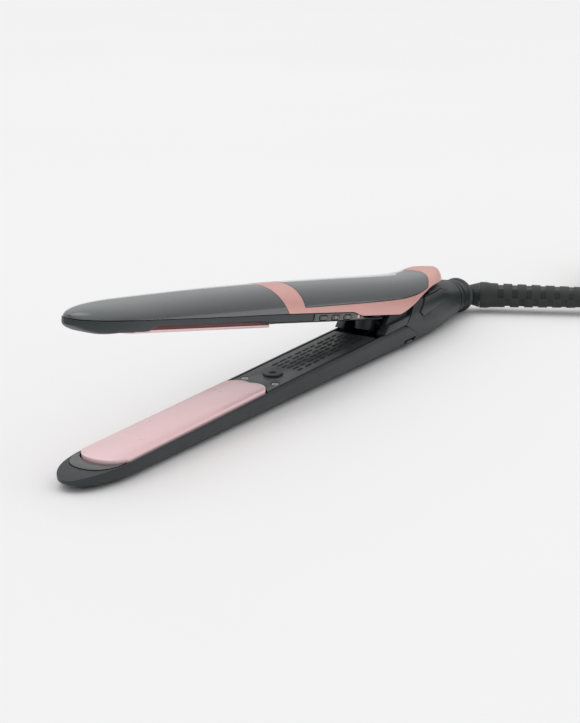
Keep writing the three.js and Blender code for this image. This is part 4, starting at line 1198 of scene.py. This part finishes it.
def cord_route():
    """The cord's line, in the cord end's millimetres: (ahead, to the left, up from the ball)."""
    height = millimetres(cord_end()[0].z)
    radius = millimetres(sizes().cord_diameter) / 2
    bed = radius + 0.12
    leave = RELIEF_START + RELIEF_LENGTH + GAP
    inner, outer = COIL_OUTER_R - radius, COIL_OUTER_R + radius
    coil_at = leave + LEAD_LENGTH + math.sqrt(outer ** 2 - inner ** 2) + 2 * GAP
    route = []
    lead = coil_at - leave
    for i in range(9):
        s = -4 + (lead - 1) * i / 8
        route.append((leave + s, 0, height + (bed - height) * smooth_step(s, 2, 36)))
    turns = COIL_WHOLE_TURNS + (90 - CORD_YAW) / 360
    period = COIL_LAP + COIL_CLIMB
    inner_r = COIL_OUTER_R - COIL_PITCH * COIL_LAP
    plug_z = bed + (COIL_LAYERS - 1) * COIL_PITCH + radius + PLUG_HALF_THICK + GAP
    steps = round(turns * 24)
    for i in range(steps + 1):
        turn = turns * i / steps
        layer = min(int(turn // period), COIL_LAYERS - 1)
        part = turn - layer * period
        inward = layer % 2 == 0
        z = bed + layer * COIL_PITCH
        if part <= COIL_LAP or layer == COIL_LAYERS - 1:
            r = (COIL_OUTER_R - COIL_PITCH * part) if inward else (inner_r + COIL_PITCH * part)
        else:
            up = (part - COIL_LAP) / COIL_CLIMB
            bulge = 0.8 * math.sin(up * math.pi)
            r = inner_r - bulge if inward else COIL_OUTER_R + bulge
            z += COIL_PITCH * smooth_step(up, 0, 1)
        z += (plug_z - z) * smooth_step(turn, turns - COIL_CLIMB, turns)
        angle = turn * 2 * math.pi
        route.append((coil_at + r * math.sin(angle), COIL_OUTER_R - r * math.cos(angle), z))
    heading = (math.cos(turns * 2 * math.pi), math.sin(turns * 2 * math.pi))
    end = route[-1]
    for s in (1, 2 + GAP):
        route.append((end[0] + heading[0] * s, end[1] + heading[1] * s, plug_z))
    return [(x, y, z - height) for x, y, z in route]


def cord_curve():
    data = bpy.data.curves.new("mains_cord", "CURVE")
    data.dimensions = "3D"
    data.bevel_depth = sizes().cord_diameter / 2
    data.bevel_resolution = 4
    data.resolution_u = 3
    data.use_fill_caps = True
    spline = data.splines.new("BEZIER")
    route = [cord_matrix() @ Vector(p) for p in cord_route()]
    spline.bezier_points.add(len(route) - 1)
    for point, where in zip(spline.bezier_points, route):
        point.co = where
        point.handle_left_type = "AUTO"
        point.handle_right_type = "AUTO"
    piece = bpy.data.objects.new("mains_cord", data)
    bpy.context.scene.collection.objects.link(piece)
    return piece


class FLATIRON_OT_cord(bpy.types.Operator):
    """Mains cord in its coil, its strap, the swivel, the sleeve and the plug"""
    bl_idname = "flatiron.cord"
    bl_label = "Cord"

    def execute(self, context):
        rubber = soft_rubber()
        place(swivel(), cord_matrix(), "cord_swivel", "black_rubber", rubber, "swivel_ball")
        place(relief(), cord_matrix(), "relief", "black_rubber", rubber, "strain_relief")
        cord = cord_curve()
        cord.data.materials.append(rubber)
        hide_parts("cord_lead", "cord_coil", "cord_tail")
        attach(cord, "cord_swivel")
        for node in ("cord_tie", "plug_body"):
            dress(node, rubber)
        pin_look = plain_metal("pin_brass", (0.72, 0.55, 0.28), 0.25)
        for node in ("plug_pin_1", "plug_pin_2"):
            dress(node, pin_look)
        return {"FINISHED"}


# ---------------------------------------------------------------- inner pieces
def dress(node, look):
    """A frame node keeps its shape and gets a finish."""
    data = frame["nodes"][node].data
    data.materials.clear()
    data.materials.append(look)


class FLATIRON_OT_inner_pieces(bpy.types.Operator):
    """Finishes of the pin, spring, washers, screws, heaters, carriers, pads and board"""
    bl_idname = "flatiron.inner_pieces"
    bl_label = "Inner pieces"

    def execute(self, context):
        steel = plain_metal("spring_steel", (0.56, 0.57, 0.58), 0.3)
        brass = plain_metal("washer_brass", (0.66, 0.5, 0.24), 0.32)
        aluminium = plain_metal("carrier_aluminium_look", (0.62, 0.63, 0.65), 0.4)
        heater = plain_moulding("heater_ceramic_look", (0.68, 0.65, 0.58), 0.7)
        silicone = plain_moulding("silicone_look", (0.26, 0.05, 0.04), 0.55)
        board = plain_moulding("board_green_look", (0.03, 0.15, 0.06), 0.5)
        looks = {
            steel: ("hinge_pin", "hinge_spring", "cover_screw_near", "cover_screw_far"),
            brass: ("hinge_washer_near", "hinge_washer_far"),
            aluminium: ("lower_plate_carrier", "upper_plate_carrier"),
            heater: ("lower_heater", "upper_heater"),
            silicone: ("lower_pad_front", "lower_pad_rear", "upper_pad_front", "upper_pad_rear"),
            board: ("circuit_board",),
        }
        for look, nodes in looks.items():
            for node in nodes:
                dress(node, look)
        return {"FINISHED"}


# ---------------------------------------------------------------- camera, light and floor
VIEW_AZIMUTH = -56.8883  # degrees, as are the next two
VIEW_ELEVATION = 17.8505
VIEW_ROLL = -0.7685
VIEW_DISTANCE = 880.824  # millimetres from the hinge pin
VIEW_SHIFT = (41.660, 19.757)  # millimetres to the right and up
VIEW_LENS = 95.25


def camera():
    """The view is told from the hinge pin: angles in the arm frame, distance and offset in mm."""
    a, e = math.radians(VIEW_AZIMUTH), math.radians(VIEW_ELEVATION)
    back = Vector((math.sin(a) * math.cos(e), -math.cos(a) * math.cos(e), math.sin(e)))
    right = Vector((math.cos(a), math.sin(a), 0))
    up = back.cross(right)
    r = math.radians(VIEW_ROLL)
    c, s = math.cos(r), math.sin(r)
    right, up = right * c + up * s, up * c - right * s
    offset = (right * -VIEW_SHIFT[0] + up * -VIEW_SHIFT[1] + back * VIEW_DISTANCE)
    arm = lower()
    turn = arm.to_3x3().normalized()
    data = bpy.data.cameras.new("view")
    data.lens = VIEW_LENS
    data.sensor_width = 36
    data.clip_start, data.clip_end = 0.01, 50
    eye = bpy.data.objects.new("view", data)
    bpy.context.scene.collection.objects.link(eye)
    axes = Matrix((turn @ right, turn @ up, turn @ back)).transposed().to_4x4()
    eye.matrix_world = Matrix.Translation(arm @ offset) @ axes
    bpy.context.scene.camera = eye


def softbox(name, where, toward, size, power):
    data = bpy.data.lights.new(name, "AREA")
    data.shape = "RECTANGLE"
    data.size, data.size_y = size
    data.energy = power
    lamp = bpy.data.objects.new(name, data)
    bpy.context.scene.collection.objects.link(lamp)
    lamp.location = where
    lamp.rotation_euler = (Vector(toward) - Vector(where)).to_track_quat("-Z", "Y").to_euler()


def sky(tree):
    """Studio light from all round, brighter overhead than at the horizon."""
    direction = tree.nodes.new("ShaderNodeTexCoord")
    split = tree.nodes.new("ShaderNodeSeparateXYZ")
    strength = tree.nodes.new("ShaderNodeMapRange")
    strength.inputs["From Min"].default_value = 0.0
    strength.inputs["From Max"].default_value = 1.0
    strength.inputs["To Min"].default_value = 0.41
    strength.inputs["To Max"].default_value = 1.14
    background = tree.nodes["Background"]
    background.inputs["Color"].default_value = (1, 1, 1, 1)
    tree.links.new(direction.outputs["Generated"], split.inputs["Vector"])
    tree.links.new(split.outputs["Z"], strength.inputs["Value"])
    tree.links.new(strength.outputs["Result"], background.inputs["Strength"])


class FLATIRON_OT_stage(bpy.types.Operator):
    """Camera, studio light and a plain pale floor"""
    bl_idname = "flatiron.stage"
    bl_label = "Stage"

    def execute(self, context):
        scene = context.scene
        scene.view_settings.view_transform = "Standard"
        scene.view_settings.look = "None"
        camera()
        clear_selection()
        bpy.ops.mesh.primitive_plane_add(size=14, location=(0, 0, -0.0002))
        floor = named("floor")
        floor.data.materials.append(pale_floor())
        world = bpy.data.worlds.new("studio")
        scene.world = world
        world.use_nodes = True
        sky(world.node_tree)
        softbox("overhead", (0.1, 0.8, 3.4), (0, 0, 0), (3.2, 2.2), 16)
        return {"FINISHED"}


# ---------------------------------------------------------------- panel and registration
STEPS = ["stage", "cord", "lower_shell", "rear_cuff", "upper_covers", "upper_housing", "buttons",
         "plates", "inner_pieces"]


class FLATIRON_PT_pieces(bpy.types.Panel):
    """Lists the build steps in the sidebar"""
    bl_idname = "FLATIRON_PT_pieces"
    bl_label = "Flat Iron"
    bl_space_type = "VIEW_3D"
    bl_region_type = "UI"
    bl_category = "Flat Iron"

    def draw(self, context):
        for step in STEPS:
            self.layout.operator(f"flatiron.{step}")
        for group in (sizes(), colours()):
            box = self.layout.box()
            for name in group.__annotations__:
                box.prop(group, name)


CLASSES = [
    FlatironSizes, FlatironColours, FLATIRON_OT_stage, FLATIRON_OT_cord, FLATIRON_OT_lower_shell,
    FLATIRON_OT_rear_cuff, FLATIRON_OT_upper_covers, FLATIRON_OT_upper_housing,
    FLATIRON_OT_buttons, FLATIRON_OT_plates, FLATIRON_OT_inner_pieces, FLATIRON_PT_pieces]


def register():
    for kind in CLASSES:
        bpy.utils.register_class(kind)
    bpy.types.Scene.flatiron_sizes = PointerProperty(type=FlatironSizes)
    bpy.types.Scene.flatiron_colours = PointerProperty(type=FlatironColours)


def unregister():
    del bpy.types.Scene.flatiron_sizes
    del bpy.types.Scene.flatiron_colours
    for kind in reversed(CLASSES):
        bpy.utils.unregister_class(kind)


def main():
    register()
    for step in STEPS:
        getattr(bpy.ops.flatiron, step)()


if __name__ == "__main__":
    main()
